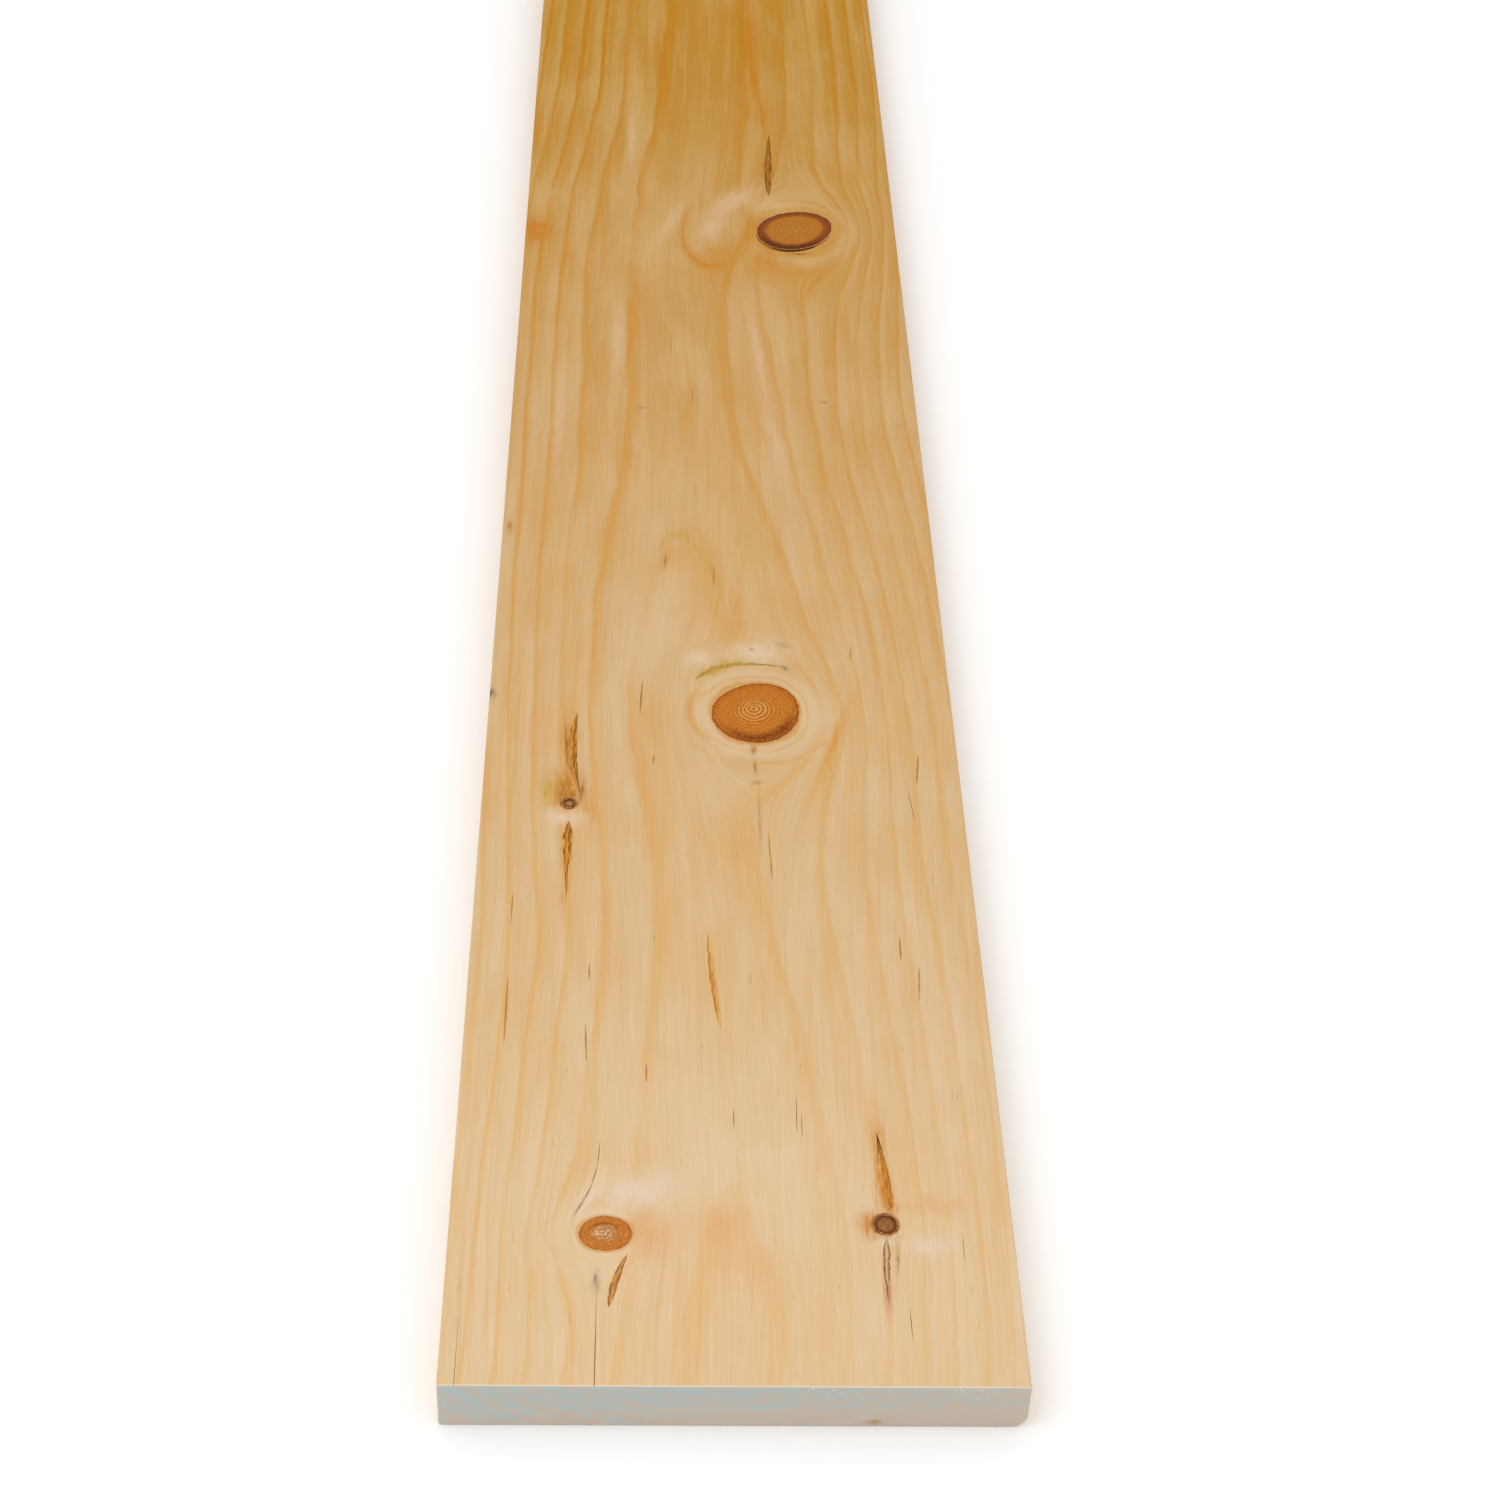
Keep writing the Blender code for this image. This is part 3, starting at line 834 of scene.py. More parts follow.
def planed_softwood():
    """The board's own wood: its planed faces, its sawn ends, whose grey and blue are partly
    painted shade, and the pale arris between them.
    """
    look = settings().colours
    wood, wires, shader, place = new_material("planed_softwood", 0.6, 0.03)
    face = wires.group(planed_face(), {"Place": place})
    facing = abs(wires.parts(wires.node("ShaderNodeTexCoord")["Normal"])["Y"])
    end = wires.ramp(facing, 0.8, 0.9)
    x, _, z = wires.parts(place)
    # Painted shade on the sawn end, partly dust: grey turning bluish, bluer towards the top and
    # towards the left
    bloom = wires.noise(place, (13.0, 13.0, 3.5), 4.0, 0.65)
    bloom += z / THICKNESS * 0.32 - 0.16 - x * 0.0014
    sawn = wires.mix(wires.ramp(bloom, 0.36, 0.62), look.end_grain, look.end_blue)
    blotch = wires.noise(place, (6.0, 6.0, 2.2), 3.0, 0.6)
    sawn = wires.mix(wires.ramp(blotch, 0.5, 0.64, 0.0, 0.4), sawn, look.end_tan)
    sawn = wires.mix(face["Late"] * 0.55, sawn, look.end_tan)
    crumbs = wires.noise(place, (0.8, 0.8, 0.8), 2.0, 0.7)
    sawn = wires.mix(wires.ramp(crumbs, 0.45, 0.65, 0.0, 0.3), sawn, look.end_tan)
    spot = wires.group(oval(), {"Place": place, "Centre": (44.0, 0.0, 2.2),
                                "Half Size": (2.6, 9.0, 1.1)})["Reach"]
    spot = wires.group(soft_patch(), {"Reach": spot, "Strength": 0.6})["Patch"]
    sawn = wires.mix(spot, sawn, TINTS["rust"])
    tint = wires.mix(end, face["Color"], sawn)
    arris = wires.ramp(facing, 0.2, 0.4) * wires.ramp(facing, 0.9, 0.8)
    shader["Base Color"] = wires.mix(arris, tint, (0.70, 0.58, 0.42))
    shader["Roughness"] = end * 0.25 + face["Fine"] * 0.1 + 0.55
    add_relief(wires, shader, face["Height"] + crumbs * end * 2.0, 0.05 * MM)
    return wood


BRANCH_LOOKS = {
    "knot_centre": {
        "Body": (0.520, 0.165, 0.012), "Core": (0.520, 0.180, 0.020), "Rim": (0.440, 0.120, 0.006),
        "Line": (0.710, 0.360, 0.090), "Dark": (0.200, 0.045, 0.005), "Core Reach": 0.36,
        "Rings": 11.0, "Ring Reach": 0.50, "Rim Reach": 0.74, "Crescent Reach": 0.82,
        "Crescent Width": 0.20, "Crescent Turn": math.radians(-18), "Crescent": 1.15,
        "Speckle": 0.4},
    "knot_far_right": {
        "Body": (0.470, 0.158, 0.010), "Core": (0.440, 0.160, 0.014), "Rim": (0.240, 0.052, 0.003),
        "Line": (0.540, 0.250, 0.045), "Dark": (0.085, 0.026, 0.003), "Core Reach": 0.55,
        "Rings": 8.0, "Ring Reach": 0.75, "Ring Strength": 0.25, "Rim Reach": 0.64,
        "Crescent Reach": 0.89, "Crescent Width": 0.21, "Crescent Turn": math.radians(10),
        "Crescent": 1.0, "Speckle": 0.5},
    "knot_near_left": {
        "Body": (0.530, 0.175, 0.024), "Core": (0.490, 0.215, 0.072), "Rim": (0.520, 0.165, 0.022),
        "Line": (0.700, 0.460, 0.260), "Dark": (0.220, 0.060, 0.008), "Core Reach": 0.52,
        "Rings": 6.0, "Ring Reach": 0.46, "Ring Strength": 0.6, "Rim Reach": 0.75,
        "Crescent Reach": 0.56, "Crescent Width": 0.1, "Crescent Turn": math.radians(180),
        "Crescent": 0.9, "Speckle": 1.0},
    "knot_near_right": {
        "Body": (0.230, 0.085, 0.026), "Core": (0.320, 0.122, 0.036), "Rim": (0.110, 0.034, 0.007),
        "Line": (0.420, 0.200, 0.090), "Dark": (0.070, 0.028, 0.010), "Core Reach": 0.78,
        "Rings": 3.0, "Ring Reach": 0.8, "Ring Strength": 0.4, "Rim Reach": 0.78,
        "Crescent": 0.0, "Speckle": 0.4},
    "knot_mid_left": {
        "Body": (0.220, 0.095, 0.030), "Core": (0.410, 0.190, 0.058), "Rim": (0.110, 0.042, 0.009),
        "Line": (0.460, 0.280, 0.150), "Dark": (0.080, 0.038, 0.014), "Core Reach": 0.62,
        "Rings": 2.0, "Ring Reach": 0.8, "Ring Strength": 0.5, "Rim Reach": 0.68,
        "Crescent": 0.0, "Speckle": 0.5},
}


def branch_wood(node, roughness, is_live):
    """A cut branch's wood, ringed round its own pith. A live branch's rim blends with the
    board; a dead one's is dark."""
    wood, wires, shader, place = new_material(node + "_wood", roughness, 0.05)
    reach = wires.node("ShaderNodeAttribute", attribute_name="reach")["Fac"]
    look = BRANCH_LOOKS[node]
    around = wires.group(planed_face(), {"Place": place})["Color"] if is_live else look["Rim"]
    face = wires.group(branch_rings(), {
        "Place": place, "Reach": reach, "Centre": branch_sizes(node)[0], "Wood": around, **look})
    shader["Base Color"] = face["Color"]
    shader["Roughness"] = face["Dark"] * 0.2 + roughness
    add_relief(wires, shader, face["Height"], 0.1 * MM)
    return wood


# How each filling looks, in the order of FILLING_PARTS: its dark lines, what lies between them,
# where its lines run across it, how wide they are, how far out it is filled, and how fully
FILLING_PARTS = ("Edge", "Between", "First Line", "Second Line", "Line Width", "Edges", "Fill")
FILLINGS = {
    "bark_streak_near_left": ((0.320, 0.130, 0.035), (0.660, 0.320, 0.090), 0.5, -0.6, 0.3, 0.95),
    "bark_streak_near_right_upper":
        ((0.380, 0.145, 0.028), (0.680, 0.280, 0.045), -0.55, 0.2, 0.24, 1.05),
    "bark_streak_near_right_lower":
        ((0.250, 0.110, 0.045), (0.680, 0.460, 0.260), -0.55, 0.5, 0.26, 0.8, 0.7),
    "bark_streak_mid_left_upper":
        ((0.200, 0.088, 0.018), (0.620, 0.275, 0.040), -0.3, -0.75, 0.2, 1.05),
    "bark_streak_mid_left_lower":
        ((0.240, 0.095, 0.018), (0.640, 0.270, 0.032), -0.4, 0.65, 0.24, 1.0),
    "bark_streak_far_right": ((0.150, 0.060, 0.008), (0.420, 0.175, 0.018), -0.5, 0.75, 0.26, 1.0),
    "bark_crease_centre": ((0.440, 0.260, 0.075), (0.630, 0.380, 0.060), 0.3, -0.3, 0.3, 0.95),
}
PITCH_ROW = ((0.430, 0.165, 0.020), (0.730, 0.370, 0.075), 0.45, 0.45, 0.4, 0.9)
COLLAR_ROW = ((0.150, 0.048, 0.010), (0.540, 0.210, 0.060), -0.8, -0.4, 0.25, 0.9)


def filling_face(wires, place, row):
    """What shows of a filling, which blends with the board round it."""
    look = dict(zip(FILLING_PARTS, row))
    across = wires.node("ShaderNodeAttribute", attribute_name="across")["Fac"]
    around = wires.group(planed_face(), {"Place": place})["Color"]
    return wires.group(packed(), {"Place": place, "Across": across, "Wood": around, **look})


def filled(name, row):
    """A filling's ragged wood or bark."""
    fill, wires, shader, place = new_material(name, 0.75, 0.05)
    face = filling_face(wires, place, row)
    shader["Base Color"] = face["Color"]
    add_relief(wires, shader, face["Height"], 0.2 * MM)
    return fill


def hard_pitch():
    """Amber resin, set hard, with cloudy depth and a slight gloss."""
    pitch, wires, shader, place = new_material("hard_pitch", 0.4, 0.15, 0.05)
    face = filling_face(wires, place, PITCH_ROW)
    shader["Base Color"] = face["Color"]
    shader["Coat Weight"] = face["Mask"] * 0.06
    add_relief(wires, shader, wires.noise(place, (1.2, 9.0, 1.2), 3.0, 0.6), 0.1 * MM)
    return pitch


# The black middle of the crescent: across, along, half width, half length, turn in degrees
CHARRED = (41.5, 704.5, 10.0, 5.5, 0)


def charred_bark():
    """The crescent beside the far branch: black in its middle, red-brown towards its horns."""
    bark, wires, shader, place = new_material("charred_bark", 0.75, 0.05)
    near = wires.group(soft_patch(), {"Reach": oval_at(wires, place, *CHARRED)["Reach"],
                                      "Strength": 1.9})["Patch"]
    lumps = wires.noise(place, (1.1, 1.3, 1.1), 3.0, 0.65)
    look = BRANCH_LOOKS["knot_far_right"]
    shown = wires.ramp(lumps * 0.5 + near, 0.55, 1.2)
    tone = wires.mix(wires.ramp(lumps, 0.35, 0.65), look["Rim"], look["Body"])
    shader["Base Color"] = wires.mix(shown, tone, (0.06, 0.022, 0.004))
    add_relief(wires, shader, lumps, 0.1 * MM)
    return bark


def check_wood():
    """The inside of a fine check: torn wood soaked with resin, its dark brown partly resin and
    partly painted shade in the crack.
    """
    wood, wires, shader, place = new_material("check_wood", 0.75, 0.1)
    grain = wires.group(fibres(), {"Place": place, "Fineness": 2.0})
    some = wires.noise(place, (30.0, 30.0, 30.0), 1.0)
    golden = wires.mix(wires.ramp(some, 0.42, 0.58), (0.560, 0.300, 0.080), (0.600, 0.400, 0.110))
    shader["Base Color"] = wires.mix(
        wires.ramp(grain["Fine"], 0.3, 0.7), settings().colours.check, golden)
    add_relief(wires, shader, grain["Fine"], 0.1 * MM)
    return wood


def torn_wood():
    """Pale fibres torn up by the saw."""
    wood, wires, shader, place = new_material("torn_wood", 0.7, 0.3)
    grain = wires.group(fibres(), {"Place": place, "Fineness": 3.0})
    shader["Base Color"] = wires.mix(grain["Fine"], (0.84, 0.76, 0.62), (0.70, 0.56, 0.38))
    return wood


def matt_paint():
    """The floor's pale paint, with the faintest roller texture."""
    paint, wires, shader, place = new_material("matt_paint", 0.9, 0.0)
    roller = wires.noise(place, (2.5, 2.5, 2.5), 2.0)
    shader["Base Color"] = wires.mix(roller, (0.94, 0.94, 0.94), (0.96, 0.96, 0.96))
    return paint


# ---------------------------------------------------------------- shapes


def round_rim(node, pick=max):
    """The rim of a branch's top (max) or bottom (min) face, in order of angle."""
    places = {tuple(round(c, 6) for c in v.co): v.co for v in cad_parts[node].data.vertices}
    level = pick(co.z for co in places.values())
    flat = [co.copy() for co in places.values() if abs(co.z - level) < 0.01 * MM]
    middle = sum(flat, Vector()) / len(flat)
    return sorted(flat, key=lambda co: math.atan2(co.y - middle.y, co.x - middle.x))


def grown(loop, by):
    """A closed loop moved outwards by that much, seen from above."""
    middle = sum(loop, Vector()) / len(loop)
    made = []
    for index, point in enumerate(loop):
        along = loop[(index + 1) % len(loop)] - loop[index - 1]
        side = Vector((along.y, -along.x, 0.0)).normalized()
        if side.dot(point - middle) < 0:
            side.negate()
        made.append(point + side * by)
    return made


def smoothed(loop, steps=3):
    """A closed loop with more points, on smooth curves through the ones it has."""
    made = []
    count = len(loop)
    for index in range(count):
        p0, p1, p2, p3 = (loop[(index + shift) % count] for shift in (-1, 0, 1, 2))
        for step in range(steps):
            t = step / steps
            made.append(0.5 * (2 * p1 + (p2 - p0) * t + (2 * p0 - 5 * p1 + 4 * p2 - p3) * t**2
                               + (3 * p1 - p0 - 3 * p2 + p3) * t**3))
    return made


def mesh_object(name, points, faces, values=None):
    """A new object, with values as point attributes."""
    mesh = bpy.data.meshes.new(name)
    mesh.from_pydata(points, [], faces)
    for key, numbers in (values or {}).items():
        mesh.attributes.new(key, "FLOAT", "POINT").data.foreach_set("value", numbers)
    piece = bpy.data.objects.new(name, mesh)
    bpy.context.scene.collection.objects.link(piece)
    return piece


def face_outwards(piece):
    shell = bmesh.new()
    shell.from_mesh(piece.data)
    bmesh.ops.recalc_face_normals(shell, faces=shell.faces)
    shell.to_mesh(piece.data)
    shell.free()


def loft(name, loops, values, ring=False):
    """A skin over closed loops of equal length, capped at its ends unless it is a ring.
    values gives each loop's points their attributes."""
    sides = len(loops[0])
    points = [point for loop in loops for point in loop]
    pairs = [(row, row + 1) for row in range(len(loops) - 1)]
    if ring:
        pairs.append((len(loops) - 1, 0))
    faces = [
        (low * sides + side, low * sides + (side + 1) % sides,
         high * sides + (side + 1) % sides, high * sides + side)
        for low, high in pairs for side in range(sides)
    ]
    if not ring:
        last = len(points) - sides
        faces += [tuple(range(sides)), tuple(range(last, last + sides))]
    flat = {key: [number for row in rows for number in row] for key, rows in values.items()}
    piece = mesh_object(name, points, faces, flat)
    face_outwards(piece)
    return piece


def welded_copy(node, name):
    """A new object with a CAD node's shape, its loose triangles joined."""
    shell = bmesh.new()
    shell.from_mesh(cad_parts[node].data)
    bmesh.ops.remove_doubles(shell, verts=shell.verts, dist=0.005 * MM)
    shell.verts.index_update()
    points = [vertex.co.copy() for vertex in shell.verts]
    faces = [[vertex.index for vertex in face.verts] for face in shell.faces]
    shell.free()
    return mesh_object(name, points, faces)


def baked(piece):
    """Turns a piece's modifiers into plain mesh."""
    graph = bpy.context.evaluated_depsgraph_get()
    mesh = bpy.data.meshes.new_from_object(piece.evaluated_get(graph), depsgraph=graph)
    piece.modifiers.clear()
    old, piece.data = piece.data, mesh
    bpy.data.meshes.remove(old)
    mesh.name = piece.name
    return piece


def run_nodes(piece, tree, values):
    """Runs a geometry tree on a piece, with named inputs, and keeps the plain mesh."""
    step = piece.modifiers.new(tree.name, "NODES")
    step.node_group = tree
    for item in tree.interface.items_tree:
        if item.item_type == "SOCKET" and item.in_out == "INPUT" and item.name in values:
            step[item.identifier] = values[item.name]
    return baked(piece)


def shade(piece, angle=None):
    """Smooth shading up to an angle, or flat."""
    if angle is None:
        piece.data.shade_flat()
    else:
        piece.data.shade_smooth()
        piece.data.set_sharp_from_angle(angle=math.radians(angle))


# ---------------------------------------------------------------- geometry groups


def new_tree(name, takes):
    """A geometry tree that takes and gives a mesh."""
    return new_group(name, {"Geometry": "Geometry", **takes, "Material": "Material"},
                     {"Geometry": "Geometry"}, "GeometryNodeTree")


def end_tree(wires, takes, gives, shape):
    """Real meshes and the material, which every tree ends in."""
    real = wires.node("GeometryNodeRealizeInstances", {"Geometry": shape})[0]
    made = wires.node("GeometryNodeSetMaterial", {"Geometry": real, "Material": takes["Material"]})
    gives["Geometry"] = made[0]


@once
def ring_relief(name):
    """Raises a branch's hard rings above its soft ones, on both faces."""
    wires, takes, gives = new_tree(name, {"Rings": 9.0, "Ridge": 0.05 * MM, "Dish": 0.0})
    reach = wires.node("GeometryNodeInputNamedAttribute", {"Name": "reach"})["Attribute"]
    wave = wires.math("COSINE", reach * (takes["Rings"] * math.tau))
    calm = wires.ramp(reach, 0.99, 0.85)
    height = wave * takes["Ridge"] * calm - takes["Dish"] * calm
    up = wires.parts(wires.node("GeometryNodeInputNormal")[0])["Z"]
    facing = wires.math("SIGN", up) * wires.math("GREATER_THAN", abs(up), 0.8)
    offset = wires.join(0.0, 0.0, height * facing)
    shape = wires.node("GeometryNodeSetPosition",
                       {"Geometry": takes["Geometry"], "Offset": offset})[0]
    end_tree(wires, takes, gives, shape)


@once
def crumbled(name):
    """Splits a filling finely, spreads its sides to its pocket, and makes its face lumpy."""
    wires, takes, gives = new_tree(
        name,
        {"Level": 2, "Spread": 0.0, "Lumps": 0.3 * MM, "Sink": 0.1 * MM, "Lump Size": 1.2 * MM})
    split = wires.node("GeometryNodeSubdivideMesh",
                       {"Mesh": takes["Geometry"], "Level": takes["Level"]})[0]
    x, y, z = wires.parts(wires.node("GeometryNodeInputNormal")[0])
    here = wires.node("GeometryNodeInputPosition")[0]
    cell = wires.join(takes["Lump Size"], takes["Lump Size"] * 3.0, takes["Lump Size"])
    lumps = wires.noise(here, cell, 3.0, 0.6) - 0.5
    level = wires.join(x, y, 0.0)
    steep = wires.ramp(wires.math("LENGTH", level), 0.3, 0.6)
    spread = wires.math("NORMALIZE", level) * (steep * takes["Spread"])
    across = wires.node("GeometryNodeInputNamedAttribute", {"Name": "across"})["Attribute"]
    top = wires.ramp(z, 0.3, 0.9) * wires.ramp(abs(across), 1.0, 0.6)
    lift = wires.join(0.0, 0.0, top * (lumps * takes["Lumps"] - takes["Sink"]))
    shape = wires.node("GeometryNodeSetPosition", {"Geometry": split, "Offset": spread + lift})[0]
    end_tree(wires, takes, gives, shape)


@once
def check_cutters(name):
    """A pointed blade standing on each point, as wide, long and high as its size says."""
    wires, takes, gives = new_tree(name, {"Sides": 16})
    blade = wires.node("GeometryNodeMeshCone", {
        "Vertices": takes["Sides"], "Radius Top": 1.0, "Radius Bottom": 0.12, "Depth": 1.0})
    size = wires.node("GeometryNodeInputNamedAttribute", {"Name": "size"},
                      data_type="FLOAT_VECTOR")["Attribute"]
    turn = wires.node("GeometryNodeInputNamedAttribute", {"Name": "turn"})["Attribute"]
    placed = wires.node("GeometryNodeInstanceOnPoints",
                        {"Points": takes["Geometry"], "Instance": blade["Mesh"], "Scale": size,
                         "Rotation": wires.join(0.0, 0.0, turn)})[0]
    end_tree(wires, takes, gives, placed)


@once
def torn_fibres(name):
    """Short hairs standing out of lines along the arris."""
    wires, takes, gives = new_tree(
        name,
        {"Count": 9, "Length": 1.6 * MM, "Thickness": 0.2 * MM, "Scatter": 0.35 * MM,
         "Seed": SEED})
    line = wires.node("GeometryNodeMeshToCurve", {"Mesh": takes["Geometry"]})[0]
    spots = wires.node("GeometryNodeCurveToPoints", {"Curve": line, "Count": takes["Count"]})
    def pick(low, high, seed, kind="FLOAT_VECTOR"):
        made = wires.add("FunctionNodeRandomValue", {"Seed": takes["Seed"] + seed},
                         data_type=kind)
        sockets = [socket for socket in made.inputs if socket.enabled]
        wires.feed(sockets[0], low)
        wires.feed(sockets[1], high)
        return Value(wires, next(socket for socket in made.outputs if socket.enabled))

    stray = pick((-6.0, -0.2, -4.0), (6.0, 0.3, 3.6), 1) * takes["Scatter"]
    moved = wires.node("GeometryNodeSetPosition",
                       {"Geometry": spots["Points"], "Offset": stray})[0]
    hair = wires.node("GeometryNodeMeshCone", {
        "Vertices": 5, "Radius Top": 0.15, "Radius Bottom": 1.0, "Depth": 1.0})
    length = takes["Length"] * pick(0.3, 1.0, 2, "FLOAT")
    size = wires.join(takes["Thickness"], takes["Thickness"], length)
    placed = wires.node("GeometryNodeInstanceOnPoints",
                        {"Points": moved, "Instance": hair["Mesh"], "Scale": size,
                         "Rotation": pick((0.9, -0.9, 0.0), (1.9, 0.9, 6.2), 3)})[0]
    end_tree(wires, takes, gives, placed)


# ---------------------------------------------------------------- pieces


def stations(node):
    """A filling's cross lines, from one tip to the other, as pairs of opposite rim points."""
    rim = round_rim(node)
    first, last = max(((a, b) for a in rim for b in rim),
                      key=lambda ends: (ends[0] - ends[1]).length)
    along = (last - first).normalized()
    inner = sorted((p for p in rim if p is not first and p is not last),
                   key=lambda p: (p - first).dot(along))
    pairs = [(inner[i], inner[i + 1]) for i in range(0, len(inner) - 1, 2)]
    middles = [first, *((a + b) / 2 for a, b in pairs), last]
    made = []
    for index, (a, b) in enumerate(pairs, 1):
        ahead = middles[index + 1] - middles[index - 1]
        left_first = ahead.x * (a - b).y - ahead.y * (a - b).x > 0
        made.append((a, b) if left_first else (b, a))
    return first, made, last


def filling(node, name, grow, across_points=7):
    """A filling's solid, with how far across it each point lies, from -1 to 1."""
    low, high = (corner.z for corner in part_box(node))
    first, pairs, last = stations(node)
    tip = 0.26 * MM
    ahead = (pairs[0][0] + pairs[0][1]) / 2 - first
    side = Vector((-ahead.y, ahead.x, 0.0)).normalized() * tip
    start = first - ahead.normalized() * grow
    behind = last - (pairs[-1][0] + pairs[-1][1]) / 2
    far_side = Vector((-behind.y, behind.x, 0.0)).normalized() * tip
    end = last + behind.normalized() * grow
    rows = [(start + side, start - side)]
    for left, right in pairs:
        out = (left - right).normalized() * grow
        rows.append((left + out, right - out))
    rows.append((end + far_side, end - far_side))
    loops, across = [], []
    for left, right in rows:
        shares = [step / (across_points - 1) for step in range(across_points)]
        top = [left.lerp(right, share) for share in shares]
        loop = [Vector((p.x, p.y, high)) for p in top] + [Vector((p.x, p.y, low))
                                                          for p in reversed(top)]
        loops.append(loop)
        marks = [1.0 - 2.0 * share for share in shares]
        across.append(marks + marks[::-1])
    return loft(name, loops, {"across": across})


def branch_solid(node, name, grow, pith, top_drop, rings=26):
    """A cut branch: polar rows over its top, down its side and over its bottom. Its pith lies
    off its middle by the vector pith, in shares of its half sizes."""
    top, bottom = (smoothed(grown(round_rim(node, pick), grow)) for pick in (max, min))
    _, _, half = branch_sizes(node)
    shift = Vector((pith[0] * half.x, pith[1] * half.y, 0.0)) * MM
    reaches = [0.03 + 0.97 * row / (rings - 1) for row in range(rings)]
    loops, marks = [], []
    for rim, level, order in ((top, BOARD_HIGH.z - top_drop, reaches),
                              (bottom, BOARD_LOW.z + top_drop, reaches[::-1])):
        middle = sum(rim, Vector()) / len(rim) + shift
        for reach in order:
            loop = [middle.lerp(point, reach) for point in rim]
            loops.append([Vector((p.x, p.y, level)) for p in loop])
            marks.append([reach] * len(loop))
    return loft(name, loops, {"reach": marks})


def collar_solid(node, name, inside, outside):
    """A ring of bark round a dead branch, between two distances from it."""
    loops, marks = [], []
    for pick, level in ((max, BOARD_HIGH.z - 0.1 * MM), (min, BOARD_LOW.z + 0.1 * MM)):
        rim = smoothed(round_rim(node, pick))
        steps = [inside + (outside - inside) * share for share in (0.0, 0.25, 0.5, 0.75, 1.0)]
        rows = [(grown(rim, step), index / 2 - 1) for index, step in enumerate(steps)]
        for loop, mark in rows if pick is max else reversed(rows):
            loops.append([Vector((p.x, p.y, level)) for p in loop])
            marks.append([mark] * len(loop))
    return loft(name, loops, {"across": marks}, ring=True)


def hand_over(piece, node):
    """The frame calls that every piece of the board needs."""
    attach(piece, BODY)
    if node:
        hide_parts(node)


def set_branch(node, name, pith, rings, material, grow, drop, rows, ridge, dish):
    """Sets a cut branch that grows by grow, lies drop below the faces, and whose rings stand
    ridge high in a dish."""
    branch = branch_solid(node, name, grow, pith, drop, rows)
    run_nodes(branch, ring_relief(), {
        "Rings": float(rings), "Ridge": ridge, "Dish": dish, "Material": material})
    shade(branch, 40)
    hand_over(branch, node)


def pack_pocket(piece, node, material, lump_size, sink, level=2, spread=0.0, lumps=1.0,
                angle=50):
    """Makes a filling lumpy, gives it its material and hands it over."""
    run_nodes(piece, crumbled(), {
        "Level": level, "Spread": spread, "Lumps": settings().wood.crumble * lumps,
        "Sink": sink, "Lump Size": lump_size, "Material": material})
    shade(piece, angle)
    hand_over(piece, node)


class BoardOperator(bpy.types.Operator):
    """What the board's operators share."""

    bl_options = {"REGISTER", "UNDO"}


class KNOTTY_OT_blank(BoardOperator):
    """Saws and planes the blank, with its pockets, its wane and its fine checks"""

    bl_idname = "knotty.blank"
    bl_label = "Blank"

    def execute(self, context):
        blank = welded_copy("board", "blank")
        blank.data.materials.append(planed_softwood())
        blades = self.blades()
        check = check_wood()
        run_nodes(blades, check_cutters(), {"Sides": 16, "Material": check})
        face_outwards(blades)
        cut = blank.modifiers.new("checks", "BOOLEAN")
        cut.operation = "DIFFERENCE"
        cut.solver = "EXACT"
        cut.material_mode = "TRANSFER"
        cut.use_self = True
        cut.object = blades
        before = len(blank.data.polygons)
        baked(blank)
        bpy.data.objects.remove(blades, do_unlink=True)
        if len(blank.data.polygons) <= before:
            raise RuntimeError("the checks didn't cut the blank")
        shade(blank)
        hand_over(blank, "board")
        return {"FINISHED"}

    def blades(self):
        """A point for each check, with its size and turn."""
        depth = settings().wood.check_depth
        points, sizes, turns = [], [], []
        for first, last, width in CHECKS:
            a, b = (Vector((x * MM, NEAR_END + y * MM, 0.0)) for x, y in (first, last))
            along = b - a
            points.append((*((a + b) / 2).xy, BOARD_HIGH.z - depth))
            sizes += [width / 2 * MM, along.length / 2, depth * 1.1]
            turns.append(math.atan2(-along.x, along.y))
        mesh = bpy.data.meshes.new("blades")
        mesh.from_pydata(points, [], [])
        mesh.attributes.new("size", "FLOAT_VECTOR", "POINT").data.foreach_set("vector", sizes)
        mesh.attributes.new("turn", "FLOAT", "POINT").data.foreach_set("value", turns)
        blades = bpy.data.objects.new("blades", mesh)
        bpy.context.scene.collection.objects.link(blades)
        return blades


# Where a live branch's pith lies off its middle, how many rings it has, and how it is named
LIVE_BRANCHES = {
    "knot_near_left": ("live_branch_near_left", (-0.12, 0.05), 8),
    "knot_centre": ("live_branch_centre", (-0.06, 0.15), 13),
    "knot_far_right": ("live_branch_far_right", (0.0, 0.05), 9),
}
DEAD_BRANCHES = {
    "knot_near_right": ("dead_branch_near_right", "bark_collar_near_right", (0.05, 0.05), 4),
    "knot_mid_left": ("dead_branch_mid_left", "bark_collar_mid_left", (0.0, 0.0), 3),
}


class KNOTTY_OT_live_branches(BoardOperator):
    """Sets the three live branches, ringed and planed flush with the board"""

    bl_idname = "knotty.live_branches"
    bl_label = "Live branches"

    def execute(self, context):
        sizes = settings().wood
        for node, (name, pith, rings) in LIVE_BRANCHES.items():
            set_branch(node, name, pith, rings, branch_wood(node, 0.5, True),
                       grow=sizes.fit, drop=0.03 * MM, rows=64, ridge=sizes.ridge, dish=0.02 * MM)
        return {"FINISHED"}


